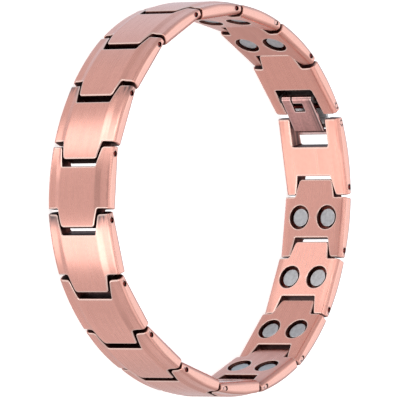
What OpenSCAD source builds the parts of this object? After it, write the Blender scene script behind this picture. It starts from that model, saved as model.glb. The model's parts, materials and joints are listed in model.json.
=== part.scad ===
/* [Band] */
// Number of normal links
link_count = 16; // [12:1:17]
// Distance between the two pins of a normal link
pitch = 11.8; // [10.5:0.1:14]
// Distance between the two pins of the link with the catch
catch_pitch = 11.8; // [11:0.1:14]
// Distance between the two pins of the link with the slot
slot_pitch = 12; // [11.5:0.1:14]
// Width of the band, across the links
band_w = 14.2; // [13.4:0.1:18]
// Thickness of a link at the middle of its outer face
link_t = 3; // [2.8:0.1:3.4]
// Width of the flat middle of the outer face
flat_w = 8.2; // [6:0.1:10]
// Height lost from the flat middle to the outer bevels
crown_drop = 0.5; // [0.2:0.05:0.7]
// Radius of the lengthwise bow of the outer face
bow_r = 37; // [32:1:60]
// Bevel along the outer long edges
outer_bevel = 0.3; // [0.2:0.05:0.6]
// Chamfer along the inner long edges
inner_chamfer = 0.5; // [0.2:0.05:0.6]

/* [Hinges] */
// Diameter of the pins between the links
pin_d = 0.9; // [0.7:0.05:1]
// Radial play of a pin in its bore
pin_play = 0.05; // [0.02:0.01:0.08]
// Height of the pin's axis above the inner face
pin_height = 1.3; // [1.2:0.05:1.4]
// Depth of a pin's ends below the side faces
pin_recess = 0.25; // [0.05:0.05:0.6]
// Reach of the ears past the pin
ear_reach = 1.3; // [1.1:0.05:1.4]
// Gap between the ears and the next link's shoulders
shoulder_gap = 0.65; // [0.5:0.05:1]
// Reach of the tongue past the pin
tongue_reach = 1.35; // [1.1:0.05:1.5]
// Gap between the tongue's tip and the bottom of the notch
tip_gap = 0.95; // [0.7:0.05:1.2]
// Width of the tongue at its tip
tongue_w = 7.5; // [6.5:0.1:8]
// Width that each side of the tongue gains from tip to root
tongue_taper = 0.75; // [0.2:0.05:1]
// Gap between the tongue's sides and the notch
side_gap = 0.25; // [0.15:0.05:0.4]
// Radius of the corners of the tongue's tip
tongue_corner_r = 0.7; // [0.2:0.05:1]
// Radius of the fillets where the tongue meets the shoulders
root_r = 0.4; // [0.1:0.05:0.5]
// Radius of the ears' inner corners, at the mouth of the notch
mouth_r = 0.6; // [0.5:0.05:0.8]
// Radius about each pin that rounds the ends of a link seen from the side
end_round_r = 1.75; // [1.65:0.05:1.85]

/* [Magnets] */
// Diameter of a magnet
magnet_d = 3.5; // [2.5:0.1:4]
// Thickness of a magnet
magnet_t = 1.2; // [0.8:0.1:1.3]
// Diameter of the pocket that holds a magnet
pocket_d = 4.4; // [4.1:0.1:4.8]
// Distance between the two magnets of a link
magnet_spacing = 6.3; // [5.5:0.1:6.8]
// Depth of a magnet's face below the inner face
magnet_recess = 0.4; // [0.1:0.05:0.5]
// Bed of glue under a magnet
glue_t = 0.05; // [0.03:0.01:0.1]

/* [Clasp] */
// Distance between the crossbar and the pin of the arm
clasp_pitch = 3.4; // [3.4:0.05:3.8]
// Width of the folding blade
blade_w = 6.8; // [5.5:0.1:7]
// Thickness of the blade's sheet
blade_t = 0.45; // [0.35:0.05:0.5]
// Distance from the crossbar to the blade's pin, along the link with the catch
blade_pin_reach = 2.5; // [1.8:0.05:2.6]
// Height of the blade's pin towards the wrist, from the crossbar
blade_pin_rise = 0.95; // [0.8:0.05:1.1]
// Diameter of the blade's pin
blade_pin_d = 0.7; // [0.5:0.05:0.7]
// Outer diameter of the blade's rolled knuckle
roll_d = 1.6; // [1.5:0.05:1.7]
// Width of the slit through the roll
slit_w = 0.4; // [0.2:0.05:0.8]
// Width of the blade's window
window_w = 2.1; // [1.4:0.1:3]
// Length of the blade's window
window_l = 1.6; // [1:0.05:1.9]
// Distance from the blade's pin to the window
window_start = 0.85; // [0.85:0.05:1.1]
// Drop of the finger lip below the blade
lip_drop = 0.55; // [0.3:0.05:0.8]
// Length of the finger lip past the blade's end
lip_l = 0.5; // [0.3:0.05:0.9]
// Thickness of the arm's plate
arm_t = 0.55; // [0.4:0.05:0.55]
// Outer diameter of the arm's knuckle round its pin
arm_roll_d = 1.7; // [1.6:0.05:1.8]
// Thickness of the arm's two lugs
lug_t = 0.4; // [0.3:0.05:0.6]
// Width of the arm's neck beyond the blade, on each side
neck_margin = 0.2; // [0:0.05:0.3]
// Distance that the arm's plate runs past the crossbar before it bends
bend_reach = 0.6; // [0.5:0.05:0.9]
// Clearance between the clasp's moving faces
clasp_play = 0.1; // [0.08:0.01:0.15]
// Clearance between the arm and the walls beside it
arm_side_play = 0.3; // [0.1:0.05:0.35]
// Gap between the arm's neck and the sides of the slot
slot_side_gap = 0.5; // [0.15:0.05:0.6]
// Reach of the two links' ends past the pins of the clasp
clasp_end_reach = 1; // [0.9:0.05:1.2]
// Reach of the catch link's pocket past the crossbar
catch_reach = 4.75; // [4.4:0.05:5]
// Gap between the arm's plate and the end of that pocket
catch_gap = 0.25; // [0.15:0.05:0.5]
// Reach of the slot past the arm's pin
slot_reach = 4.2; // [3.4:0.05:4.6]
// Radius of the corners of the pocket and of the slot
slot_corner_r = 0.4; // [0.1:0.05:0.8]

/* [Hidden] */
$fn = 64;
ring_fn = 360;
corner_steps = 5;
// How far cutting shapes run past what they cut
over = 1;
ear_corner_r = 0.25;
clasp_mouth_r = 0.15;
notch_corner_r = 0.2;

// Shape of the worn loop: each row is a wave round it, as [waves, cosine share, sine share] of the radius
OUT_OF_ROUND = [
  [2, -0.004, -0.003],
  [3, 0.001, 0.0115],
  [4, 0.011, -0.002],
];
// Rounds of the searches for the loop's size and for each step round it
loop_rounds = 14;
step_rounds = 7;

hinge_count = link_count + 3;
pin_r = pin_d / 2;
bore_r = pin_r + pin_play;
shoulder_reach = ear_reach + shoulder_gap;
notch_reach = tongue_reach + tip_gap;
tongue_l = shoulder_reach + tongue_reach;
roll_r = roll_d / 2;
arm_roll_r = arm_roll_d / 2;
blade_bore_r = blade_pin_d / 2 + pin_play;
// Half widths of the arm: wide at its lugs, narrow at its neck
arm_half_w = blade_w / 2 + clasp_play + lug_t;
neck_half_w = blade_w / 2 + neck_margin;
catch_half_w = arm_half_w + arm_side_play;
slot_half_w = neck_half_w + slot_side_gap;
// Height of the arm's plate from the crossbar's axis, away from the wrist
arm_inner = pin_r + clasp_play + pin_play;
arm_outer = arm_inner + arm_t;

function pad(n) = n < 10 ? str("0", n) : str(n);
LINK_NAMES = [for (k = [1:link_count]) str("link_", pad(k))];
MAGNET_NAMES = [for (k = [1:link_count]) str("magnets_", pad(k))];
PIN_NAMES = [for (k = [1:link_count + 1]) str("hinge_pin_", pad(k))];
END_NAMES = ["catch_link", "slot_link", "crossbar_pin", "arm_pin"];
CLASP_NAMES = ["clasp_arm", "clasp_blade", "blade_pin"];

// The loop. Hinge 0 is the crossbar, the last hinge is the arm's pin, and the clasp's gap is centred on +X.
// Every span from hinge to hinge is a chord of one closed curve, and the curve's size is searched for until
// the spans close.
SPANS = concat([catch_pitch], [for (k = [1:link_count]) pitch], [slot_pitch], [clasp_pitch]);

function total(list, i = 0) = i < len(list) ? list[i] + total(list, i + 1) : 0;
function wave(a) = 1 + total([for (w = OUT_OF_ROUND) w[1] * cos(w[0] * a) + w[2] * sin(w[0] * a)]);
function loop_point(a, r) = r * wave(a) * [cos(a), sin(a)];
function step_for(a, r, span, guess, rounds) =
  rounds <= 0 ? guess :
  let (found = norm(loop_point(a + guess, r) - loop_point(a, r)))
  step_for(a, r, span, guess * span / found, rounds - 1);
function next_angle(a, r, span) = a + step_for(a, r, span, span / r * 180 / PI, step_rounds);
function loop_angles(r) = [
  for (
    i = 0, a = asin(clasp_pitch / 2 / r);
    i <= hinge_count;
    a = i < hinge_count ? next_angle(a, r, SPANS[i]) : a, i = i + 1
  )
  a
];
function closed_r(r, rounds) =
  rounds <= 0 ? r : let (a = loop_angles(r)) closed_r(r * (a[hinge_count] - a[0]) / 360, rounds - 1);
loop_r = closed_r(total(SPANS) / 2 / PI, loop_rounds);
ROUGH_HINGES = [for (a = loop_angles(loop_r)) loop_point(a, loop_r)];

// The frame's origin is at the middle of the loop's outside, on the side it lies on
function unit(v) = v / norm(v);
function inward(v) = [-v[1], v[0]];
function outer_points(i) =
  let (
    a = ROUGH_HINGES[i],
    b = ROUGH_HINGES[i + 1],
    out = -inward(unit(b - a)),
    crown = link_t - pin_height,
    bow_drop = pow(SPANS[i] / 2, 2) / 2 / bow_r
  )
  [(a + b) / 2 + crown * out, a + (crown - bow_drop) * out, b + (crown - bow_drop) * out];
OUTSIDE = [for (i = [0:hinge_count - 2]) each outer_points(i)];
outside_x = [for (p = OUTSIDE) p[0]];
outside_y = [for (p = OUTSIDE) p[1]];
middle = [max(outside_x) + min(outside_x), max(outside_y) + min(outside_y)] / 2;
HINGES = [for (p = ROUGH_HINGES) p - middle];

function direction(v) = atan2(v[1], v[0]);
function turned(v, a) = [v[0] * cos(a) - v[1] * sin(a), v[0] * sin(a) + v[1] * cos(a)];
crossbar_at = HINGES[0];
arm_pin_at = HINGES[hinge_count - 1];
catch_turn = direction(HINGES[1] - HINGES[0]);

// The clasp. In every local frame x runs along the band, y points to the wrist and z runs across the band.
blade_pin_at = crossbar_at + turned([blade_pin_reach, blade_pin_rise], catch_turn);
to_arm_pin = arm_pin_at - blade_pin_at;
// The blade lies as near as its play allows to the arm's knuckle
arm_pin_depth = arm_roll_r + clasp_play - (roll_r - blade_t);
blade_turn = direction(to_arm_pin) - 180 - asin(arm_pin_depth / norm(to_arm_pin));
riser_at = norm(to_arm_pin) + arm_roll_r + clasp_play;
blade_l = riser_at + blade_t;

// The arm's outline, in the catch link's frame
arm_pin_local = turned(arm_pin_at - crossbar_at, -catch_turn);
bend_out = [-bend_reach, -arm_outer];
to_knuckle = arm_pin_local - bend_out;
bend_turn = direction(to_knuckle) + asin(arm_roll_r / norm(to_knuckle));
neck_normal = turned([0, 1], bend_turn - 180);
neck_end_out = arm_pin_local - arm_roll_r * neck_normal;
bend_in = bend_out + [arm_t * tan((180 - bend_turn) / 2), arm_t];

module at_hinge(k) {
  span = HINGES[k + 1] - HINGES[k];
  translate([HINGES[k][0], HINGES[k][1], band_w / 2])
    rotate([0, 0, direction(span)])
      children();
}

// Outlines, as half outlines of [x, half width, corner radius], mirrored across the band
function xy(p) = [p[0], p[1]];
function corner(a, b, c) =
  let (
    to_a = unit(xy(a) - xy(b)),
    to_c = unit(xy(c) - xy(b)),
    half = acos(to_a * to_c) / 2,
    centre = xy(b) + unit(to_a + to_c) * b[2] / sin(half),
    from = xy(b) + to_a * b[2] / tan(half) - centre,
    to = xy(b) + to_c * b[2] / tan(half) - centre,
    sweep = sign(cross(from, to)) * (180 - 2 * half)
  )
  [for (i = [0:corner_steps]) centre + turned(from, sweep * i / corner_steps)];
function rounded(p) =
  let (n = len(p))
  [for (i = [0:n - 1]) each corner(p[(i + n - 1) % n], p[i], p[(i + 1) % n])];
function mirrored(p) = [for (i = [len(p) - 1:-1:0]) [p[i][0], -p[i][1], p[i][2]]];
function outline(start, finish) = let (half = concat(start, finish)) rounded(concat(half, mirrored(half)));
function both_sides(half) = concat(half, [for (i = [len(half) - 1:-1:0]) [half[i][0], -half[i][1]]]);

tip_half_w = tongue_w / 2;
slope = tongue_taper / tongue_l;
notch_start = [
  [notch_reach, tip_half_w + side_gap - slope * tip_gap, notch_corner_r],
  [-ear_reach, tip_half_w + side_gap + slope * (tongue_reach + ear_reach), mouth_r],
  [-ear_reach, band_w / 2, ear_corner_r],
];
catch_start = [
  [catch_reach, catch_half_w, slot_corner_r],
  [-clasp_end_reach, catch_half_w, clasp_mouth_r],
  [-clasp_end_reach, band_w / 2, ear_corner_r],
];
function tongue_finish(l) = [
  [l - shoulder_reach, band_w / 2, ear_corner_r],
  [l - shoulder_reach, tip_half_w + tongue_taper, root_r],
  [l + tongue_reach, tip_half_w, tongue_corner_r],
];
function slot_finish(l) = [
  [l + clasp_end_reach, band_w / 2, ear_corner_r],
  [l + clasp_end_reach, slot_half_w, clasp_mouth_r],
  [l - slot_reach, slot_half_w, slot_corner_r],
];

// The outer face: flat in the middle, sloped beside it and bevelled at the edges, and bowed along the link
module bowed_outside(l) {
  rim = band_w / 2 - outer_bevel;
  inside_r = bow_r - 2 * link_t;
  half = [
    [inside_r, band_w / 2],
    [bow_r - crown_drop - outer_bevel, band_w / 2],
    [bow_r - crown_drop, rim],
    [bow_r, flat_w / 2],
  ];
  translate([l / 2, pin_height - link_t + bow_r, 0])
    rotate_extrude($fn = ring_fn)
      polygon(both_sides(half));
}

// The flat inner face with its chamfered long edges
module chamfered_inside(l) {
  inner = pin_height;
  outer = pin_height - link_t - over;
  half = [
    [outer, band_w / 2 + over],
    [inner - inner_chamfer - over, band_w / 2 + over],
    [inner, band_w / 2 - inner_chamfer],
  ];
  translate([-2 * ear_reach, 0, 0])
    rotate([90, 0, 90])
      linear_extrude(l + 4 * ear_reach)
        polygon(both_sides(half));
}

// The side view: round about each pin, so that the links can turn
module rounded_side(l) {
  linear_extrude(band_w + 2 * over, center = true) {
    circle(end_round_r);
    translate([l, 0]) circle(end_round_r);
    translate([0, -2 * link_t]) square([l, 4 * link_t]);
  }
}

module pin_bore(x) {
  translate([x, 0, 0]) cylinder(h = band_w + 2 * over, r = bore_r, center = true);
}

module link_body(l, start, finish) {
  difference() {
    intersection() {
      translate([0, pin_height + over, 0])
        rotate([90, 0, 0])
          linear_extrude(link_t + 2 * over)
            polygon(outline(start, finish));
      bowed_outside(l);
      chamfered_inside(l);
      rounded_side(l);
    }
    pin_bore(0);
    pin_bore(l);
  }
}

// Both magnets' places, along y from the inner face
module magnet_pair(d, top, depth) {
  x = (notch_reach + pitch - shoulder_reach) / 2;
  for (side = [-1, 1])
    translate([x, top, side * magnet_spacing / 2])
      rotate([90, 0, 0])
        cylinder(h = depth, d = d);
}

module link(k) {
  color("#cf9a88")
    at_hinge(k)
      difference() {
        link_body(pitch, notch_start, tongue_finish(pitch));
        magnet_pair(pocket_d, pin_height + over, over + magnet_recess + magnet_t + glue_t);
      }
}

module magnets(k) {
  color("#c8c6cb")
    at_hinge(k)
      magnet_pair(magnet_d, pin_height - magnet_recess, magnet_t);
}

module catch_link() {
  color("#cf9a88")
    at_hinge(0)
      link_body(catch_pitch, catch_start, tongue_finish(catch_pitch));
}

module slot_link() {
  color("#cf9a88")
    at_hinge(link_count + 1)
      link_body(slot_pitch, notch_start, slot_finish(slot_pitch));
}

module cross_pin(at) {
  color("#a97a6c")
    translate([at[0], at[1], pin_recess])
      cylinder(h = band_w - 2 * pin_recess, r = pin_r);
}

// The arm's side view: a plate outside the crossbar, a bend and a neck to the knuckle
module arm_plate_side() {
  polygon([[catch_reach - catch_gap, -arm_outer], bend_out, bend_in, [catch_reach - catch_gap, -arm_inner]]);
}

// The neck's root runs into the plate
module arm_neck_side() {
  root = [arm_t, 0];
  neck_end_in = neck_end_out + arm_t * neck_normal;
  polygon([bend_out + root, bend_out, neck_end_out, neck_end_in, bend_in, bend_in + root]);
  translate(arm_pin_local) circle(arm_roll_r);
}

module lug_side() {
  translate([blade_pin_reach, blade_pin_rise]) circle(roll_r);
  translate([blade_pin_reach - roll_r, -arm_outer]) square([roll_d, arm_outer + blade_pin_rise]);
}

module clasp_arm() {
  color("#8d8d90")
    at_hinge(0)
      difference() {
        union() {
          linear_extrude(2 * arm_half_w, center = true) arm_plate_side();
          linear_extrude(2 * neck_half_w, center = true) arm_neck_side();
          for (side = [-1, 1])
            translate([0, 0, side * (arm_half_w - lug_t / 2)])
              linear_extrude(lug_t, center = true) lug_side();
        }
        translate([arm_pin_local[0], arm_pin_local[1], 0])
          cylinder(h = band_w, r = bore_r, center = true);
        translate([blade_pin_reach, blade_pin_rise, 0])
          cylinder(h = band_w, r = blade_bore_r, center = true);
      }
}

// The blade's side view: its sheet, and the lip that drops past the arm's knuckle
module blade_side() {
  outer = roll_r - blade_t;
  translate([-blade_l, outer]) square([blade_l, blade_t]);
  translate([-blade_l, outer - lip_drop]) square([blade_t, lip_drop + blade_t]);
  translate([-blade_l - lip_l, outer - lip_drop]) square([lip_l + blade_t, blade_t]);
}

module clasp_blade() {
  color("#9c7468")
    translate([blade_pin_at[0], blade_pin_at[1], band_w / 2])
      rotate([0, 0, blade_turn])
        difference() {
          union() {
            cylinder(h = blade_w, r = roll_r, center = true);
            linear_extrude(blade_w, center = true) blade_side();
          }
          cylinder(h = blade_w + over, r = blade_bore_r, center = true);
          translate([-window_start - window_l, 0, -window_w / 2])
            cube([window_l, roll_d, window_w]);
          translate([-window_start - window_l, -roll_d, -window_w / 2])
            cube([window_start + window_l + roll_d, 2 * roll_d, slit_w]);
        }
}

module blade_pin() {
  color("#8d8d90")
    translate([blade_pin_at[0], blade_pin_at[1], band_w / 2])
      cylinder(h = 2 * arm_half_w, d = blade_pin_d, center = true);
}

for (k = [1:link_count]) {
  link(k);
  magnets(k);
}
for (k = [1:link_count + 1])
  cross_pin(HINGES[k]);
catch_link();
slot_link();
cross_pin(crossbar_at);  // crossbar_pin
cross_pin(arm_pin_at);  // arm_pin
clasp_arm();
clasp_blade();
blade_pin();
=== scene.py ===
"""A magnetic link bracelet in brushed rose copper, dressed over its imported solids.

Lengths in the classes are millimetres. Every piece is worked out in the frame of its own
link (u along the band, v across it, h away from the wrist) and then placed in metres.
"""

import json
import logging
import math
from dataclasses import dataclass, field
from enum import Enum
from typing import Callable, Optional, Sequence

import bmesh
import bpy
import numpy as np
from mathutils import Matrix, Vector
from mathutils.geometry import delaunay_2d_cdt

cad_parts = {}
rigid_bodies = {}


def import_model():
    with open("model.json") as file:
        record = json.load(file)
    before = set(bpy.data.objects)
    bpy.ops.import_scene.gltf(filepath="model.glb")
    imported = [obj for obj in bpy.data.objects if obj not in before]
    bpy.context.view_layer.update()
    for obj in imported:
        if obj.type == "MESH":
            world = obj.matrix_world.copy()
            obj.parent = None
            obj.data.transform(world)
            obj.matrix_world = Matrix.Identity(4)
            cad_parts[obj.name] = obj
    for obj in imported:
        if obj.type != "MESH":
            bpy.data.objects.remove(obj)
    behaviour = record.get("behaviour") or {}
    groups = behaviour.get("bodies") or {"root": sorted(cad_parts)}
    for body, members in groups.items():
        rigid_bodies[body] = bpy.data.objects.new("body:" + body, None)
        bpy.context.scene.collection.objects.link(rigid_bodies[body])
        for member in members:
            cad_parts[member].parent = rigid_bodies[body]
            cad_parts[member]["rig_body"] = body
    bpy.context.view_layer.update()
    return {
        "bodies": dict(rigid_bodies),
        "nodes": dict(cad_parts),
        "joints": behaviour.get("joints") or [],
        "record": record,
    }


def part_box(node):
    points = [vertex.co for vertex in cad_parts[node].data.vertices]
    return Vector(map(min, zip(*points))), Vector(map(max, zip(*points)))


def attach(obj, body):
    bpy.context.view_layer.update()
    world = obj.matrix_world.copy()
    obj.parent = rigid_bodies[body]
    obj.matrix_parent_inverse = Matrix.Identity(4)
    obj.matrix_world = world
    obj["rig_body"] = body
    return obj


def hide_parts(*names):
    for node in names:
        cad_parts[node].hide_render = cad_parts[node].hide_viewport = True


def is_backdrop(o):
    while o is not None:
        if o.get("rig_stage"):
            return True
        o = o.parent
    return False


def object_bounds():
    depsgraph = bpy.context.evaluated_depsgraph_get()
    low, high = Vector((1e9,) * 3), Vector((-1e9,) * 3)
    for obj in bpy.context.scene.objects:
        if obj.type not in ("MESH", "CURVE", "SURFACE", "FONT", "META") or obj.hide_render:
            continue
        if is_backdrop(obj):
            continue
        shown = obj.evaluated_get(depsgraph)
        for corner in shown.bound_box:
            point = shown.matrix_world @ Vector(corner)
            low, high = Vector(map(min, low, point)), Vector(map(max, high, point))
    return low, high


LOG = logging.getLogger("bracelet")
METRES = 0.001
TINY = 1e-6  # a length that counts as none
ARC_STEP = math.radians(9)  # widest step of a rounded corner
TURN_STEPS = 40  # steps round a turned piece
UPRIGHT = np.array([0.0, 0.0, 1.0])  # the direction across the band
Heights = Callable[[np.ndarray], tuple[np.ndarray, np.ndarray]]


class End(Enum):
    """The forms that a link's end can have."""

    NOTCH = "notch between two ears"
    TONGUE = "tapered tongue"
    POCKET = "pocket for the clasp's blade"
    SLOT = "slot for the clasp's arm"


class Side(Enum):
    """The two long edges of the band, as signs of v."""

    LOWER = -1
    UPPER = 1


def ramp(values: np.ndarray, none: float, full: float) -> np.ndarray:
    """Shares that run in a line from 0 at the value `none` to 1 at the value `full`."""
    return np.clip((values - none) / (full - none), 0.0, 1.0)


def smooth_step(share: np.ndarray) -> np.ndarray:
    """The smooth step 3t^2 - 2t^3 of a share t."""
    return 3 * share**2 - 2 * share**3


@dataclass(frozen=True)
class Bend:
    """A place across the band where the outer face bends down into a steeper slope.

    Attributes:
        start: distance from the middle where the bend begins.
        width: width over which the slope changes.
        slope: slope that the bend adds.
    """

    start: float
    width: float
    slope: float

    def fall(self, across: np.ndarray) -> tuple[np.ndarray, np.ndarray]:
        """Fall of the face beyond the bend.

        The slope follows the smooth step 3t^2 - 2t^3 of the share t of the bend passed, so the
        fall is width * (t^3 - t^4 / 2) inside the bend and a straight line beyond it.

        Args:
            across: distances from the middle of the band.

        Returns:
            The fall and its slope at each distance.
        """
        t = np.clip((across - self.start) / self.width, 0.0, 1.0)
        beyond = np.maximum(across - self.start - self.width, 0.0)
        fall = self.slope * (self.width * (t**3 - t**4 / 2) + beyond)
        return fall, self.slope * smooth_step(t)


@dataclass
class Loop:
    """One closed edge of a plate, with the metal on its left.

    Attributes:
        points: its points, n by 2.
        outward: unit directions away from the metal, n by 2.
        rim: radius of its rounded rim at each point.
    """

    points: np.ndarray
    outward: np.ndarray
    rim: np.ndarray

    def inset(self, depth: np.ndarray) -> np.ndarray:
        """The loop moved into the metal by a depth at each point."""
        return self.points - self.outward * depth[:, None]


def rounded_loop(corners: np.ndarray, spacing: float, rim: float) -> Loop:
    """Rounds the corners of a polygon with arcs.

    Each corner of turn angle a and radius r gives an arc that leaves the straight edges at
    r * tan(|a| / 2) from the corner, and directions turn evenly along it.

    Args:
        corners: rows of u, v and radius, with the metal on the left of the path.
        spacing: longest step along the straight edges.
        rim: radius of the rounded rim.

    Returns:
        The loop.
    """
    at, radius = corners[:, :2], corners[:, 2]
    leave = np.roll(at, -1, axis=0) - at
    lengths = np.linalg.norm(leave, axis=1)
    leave = leave / lengths[:, None]
    arrive = np.roll(leave, 1, axis=0)
    turn = np.arctan2(
        arrive[:, 0] * leave[:, 1] - arrive[:, 1] * leave[:, 0], (arrive * leave).sum(axis=1)
    )
    cut = radius * np.tan(np.abs(turn) / 2)
    points, outward = [], []
    for i in range(len(at)):
        steps = max(3, int(math.ceil(abs(turn[i]) / ARC_STEP) + 1))
        angle = np.linspace(0.0, turn[i], steps)
        c, s = np.cos(angle), np.sin(angle)
        way = np.stack(
            [arrive[i, 0] * c - arrive[i, 1] * s, arrive[i, 0] * s + arrive[i, 1] * c], axis=1
        )
        left = np.stack([-way[:, 1], way[:, 0]], axis=1)
        sign = math.copysign(radius[i], turn[i])
        centre = at[i] - arrive[i] * cut[i] + sign * left[0]
        points.append(centre - sign * left)
        outward.append(-left)
        start = at[i] + leave[i] * cut[i]
        run = lengths[i] - cut[i] - cut[(i + 1) % len(at)]
        between = np.linspace(0.0, run, max(2, int(math.ceil(run / spacing)) + 1))[1:-1]
        points.append(start + between[:, None] * leave[i])
        outward.append(np.repeat(-left[-1:], len(between), axis=0))
    count = sum(len(p) for p in points)
    return Loop(np.concatenate(points), np.concatenate(outward), np.full(count, rim))


def round_hole(centre: tuple[float, float], radius: float, steps: int, rim: float) -> Loop:
    """A circular hole, run clockwise so that the metal is on its left.

    Args:
        centre: its middle.
        radius: its radius.
        steps: points round it.
        rim: radius of its rounded rim.

    Returns:
        The loop.
    """
    angle = -np.arange(steps) * (2 * math.pi / steps)
    way = np.stack([np.cos(angle), np.sin(angle)], axis=1)
    return Loop(np.asarray(centre) + radius * way, -way, np.full(steps, rim))


@dataclass
class Shell:
    """Patches of one piece, gathered before they become a mesh.

    Every patch has its points, its true surface normals, three marks for the finish (how
    much of an edge, a recess or a soiled place a point is; recesses are darkened with patina
    and painted shade) and its triangles or quads.
    """

    points: list[np.ndarray] = field(default_factory=list)
    normals: list[np.ndarray] = field(default_factory=list)
    marks: list[np.ndarray] = field(default_factory=list)
    faces: list[np.ndarray] = field(default_factory=list)

    def add(
        self, points: np.ndarray, normals: np.ndarray, marks: np.ndarray, faces: np.ndarray
    ) -> None:
        """Adds a patch.

        Args:
            points: n by 3.
            normals: n by 3, of any length.
            marks: n by 3, edge, recess and soil.
            faces: m by 3 or m by 4 indices into the patch.
        """
        offset = sum(len(p) for p in self.points)
        self.points.append(points)
        self.normals.append(normals / np.linalg.norm(normals, axis=1, keepdims=True))
        self.marks.append(marks)
        self.faces.append(faces + offset)

    def carried(self, way: Callable[[np.ndarray, np.ndarray], tuple]) -> "Shell":
        """The same patches, carried elsewhere.

        Args:
            way: takes points and normals to their new values.

        Returns:
            The new shell.
        """
        other = Shell()
        for points, normals, marks in zip(self.points, self.normals, self.marks):
            there, facing = way(points, normals)
            other.points.append(there)
            other.normals.append(facing)
            other.marks.append(marks)
        other.faces = list(self.faces)
        return other

    def mesh(self, name: str) -> bpy.types.Mesh:
        """Puts the patches into one closed mesh.

        Points within a tenth of a micrometre become one, and normals and marks stay with the
        corners of the faces.

        Args:
            name: the mesh's name.

        Returns:
            The mesh, with its corner data in "shade" and "marks".
        """
        points = np.concatenate(self.points)
        normals = np.concatenate(self.normals)
        marks = np.concatenate(self.marks)
        _, first, where = np.unique(
            np.round(points * 1e4).astype(np.int64), axis=0, return_index=True, return_inverse=True
        )
        where = where.reshape(-1)
        faces, corners = [], []
        for patch in self.faces:
            shared = where[patch]
            apart = np.ones(len(patch), bool)
            for i in range(patch.shape[1]):
                apart &= shared[:, i] != shared[:, i - 1]
            faces += shared[apart].tolist()
            corners.append(patch[apart].ravel())
        corner = np.concatenate(corners)
        mesh = bpy.data.meshes.new(name)
        mesh.from_pydata(points[first].tolist(), [], faces)
        add_layer(mesh, "shade", "CORNER", normals[corner])
        add_layer(mesh, "marks", "CORNER", marks[corner])
        mesh.update()
        return mesh


def ring_faces(rows: int, count: int) -> np.ndarray:
    """Quads between closed rings of equal count, listed from the top ring down.

    Args:
        rows: how many rings there are.
        count: points of each ring.

    Returns:
        Four indices for each quad.
    """
    row, i = np.meshgrid(np.arange(rows - 1), np.arange(count), indexing="ij")
    row, i, after = row.ravel(), i.ravel(), (i.ravel() + 1) % count
    upper, lower = row * count, (row + 1) * count
    return np.stack([lower + i, lower + after, upper + after, upper + i], axis=1)


def fan_faces(count: int) -> np.ndarray:
    """Triangles between a closed ring of points and a middle that is listed after it."""
    i = np.arange(count)
    return np.stack([np.full(count, count), i, (i + 1) % count], axis=1)


def inside(points: np.ndarray, loops: Sequence[np.ndarray]) -> np.ndarray:
    """Even-odd test of points against closed loops.

    Args:
        points: n by 2.
        loops: closed loops of points.

    Returns:
        Whether a ray from each point crosses the loops an odd number of times.
    """
    odd = np.zeros(len(points), bool)
    for loop in loops:
        a, b = loop, np.roll(loop, -1, axis=0)
        y = points[:, 1:2]
        spans = (a[:, 1] > y) != (b[:, 1] > y)
        rise = np.where(b[:, 1] == a[:, 1], 1.0, b[:, 1] - a[:, 1])
        x = a[:, 0] + (y - a[:, 1]) * (b[:, 0] - a[:, 0]) / rise
        odd ^= ((spans & (points[:, 0:1] < x)).sum(axis=1) % 2).astype(bool)
    return odd


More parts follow.
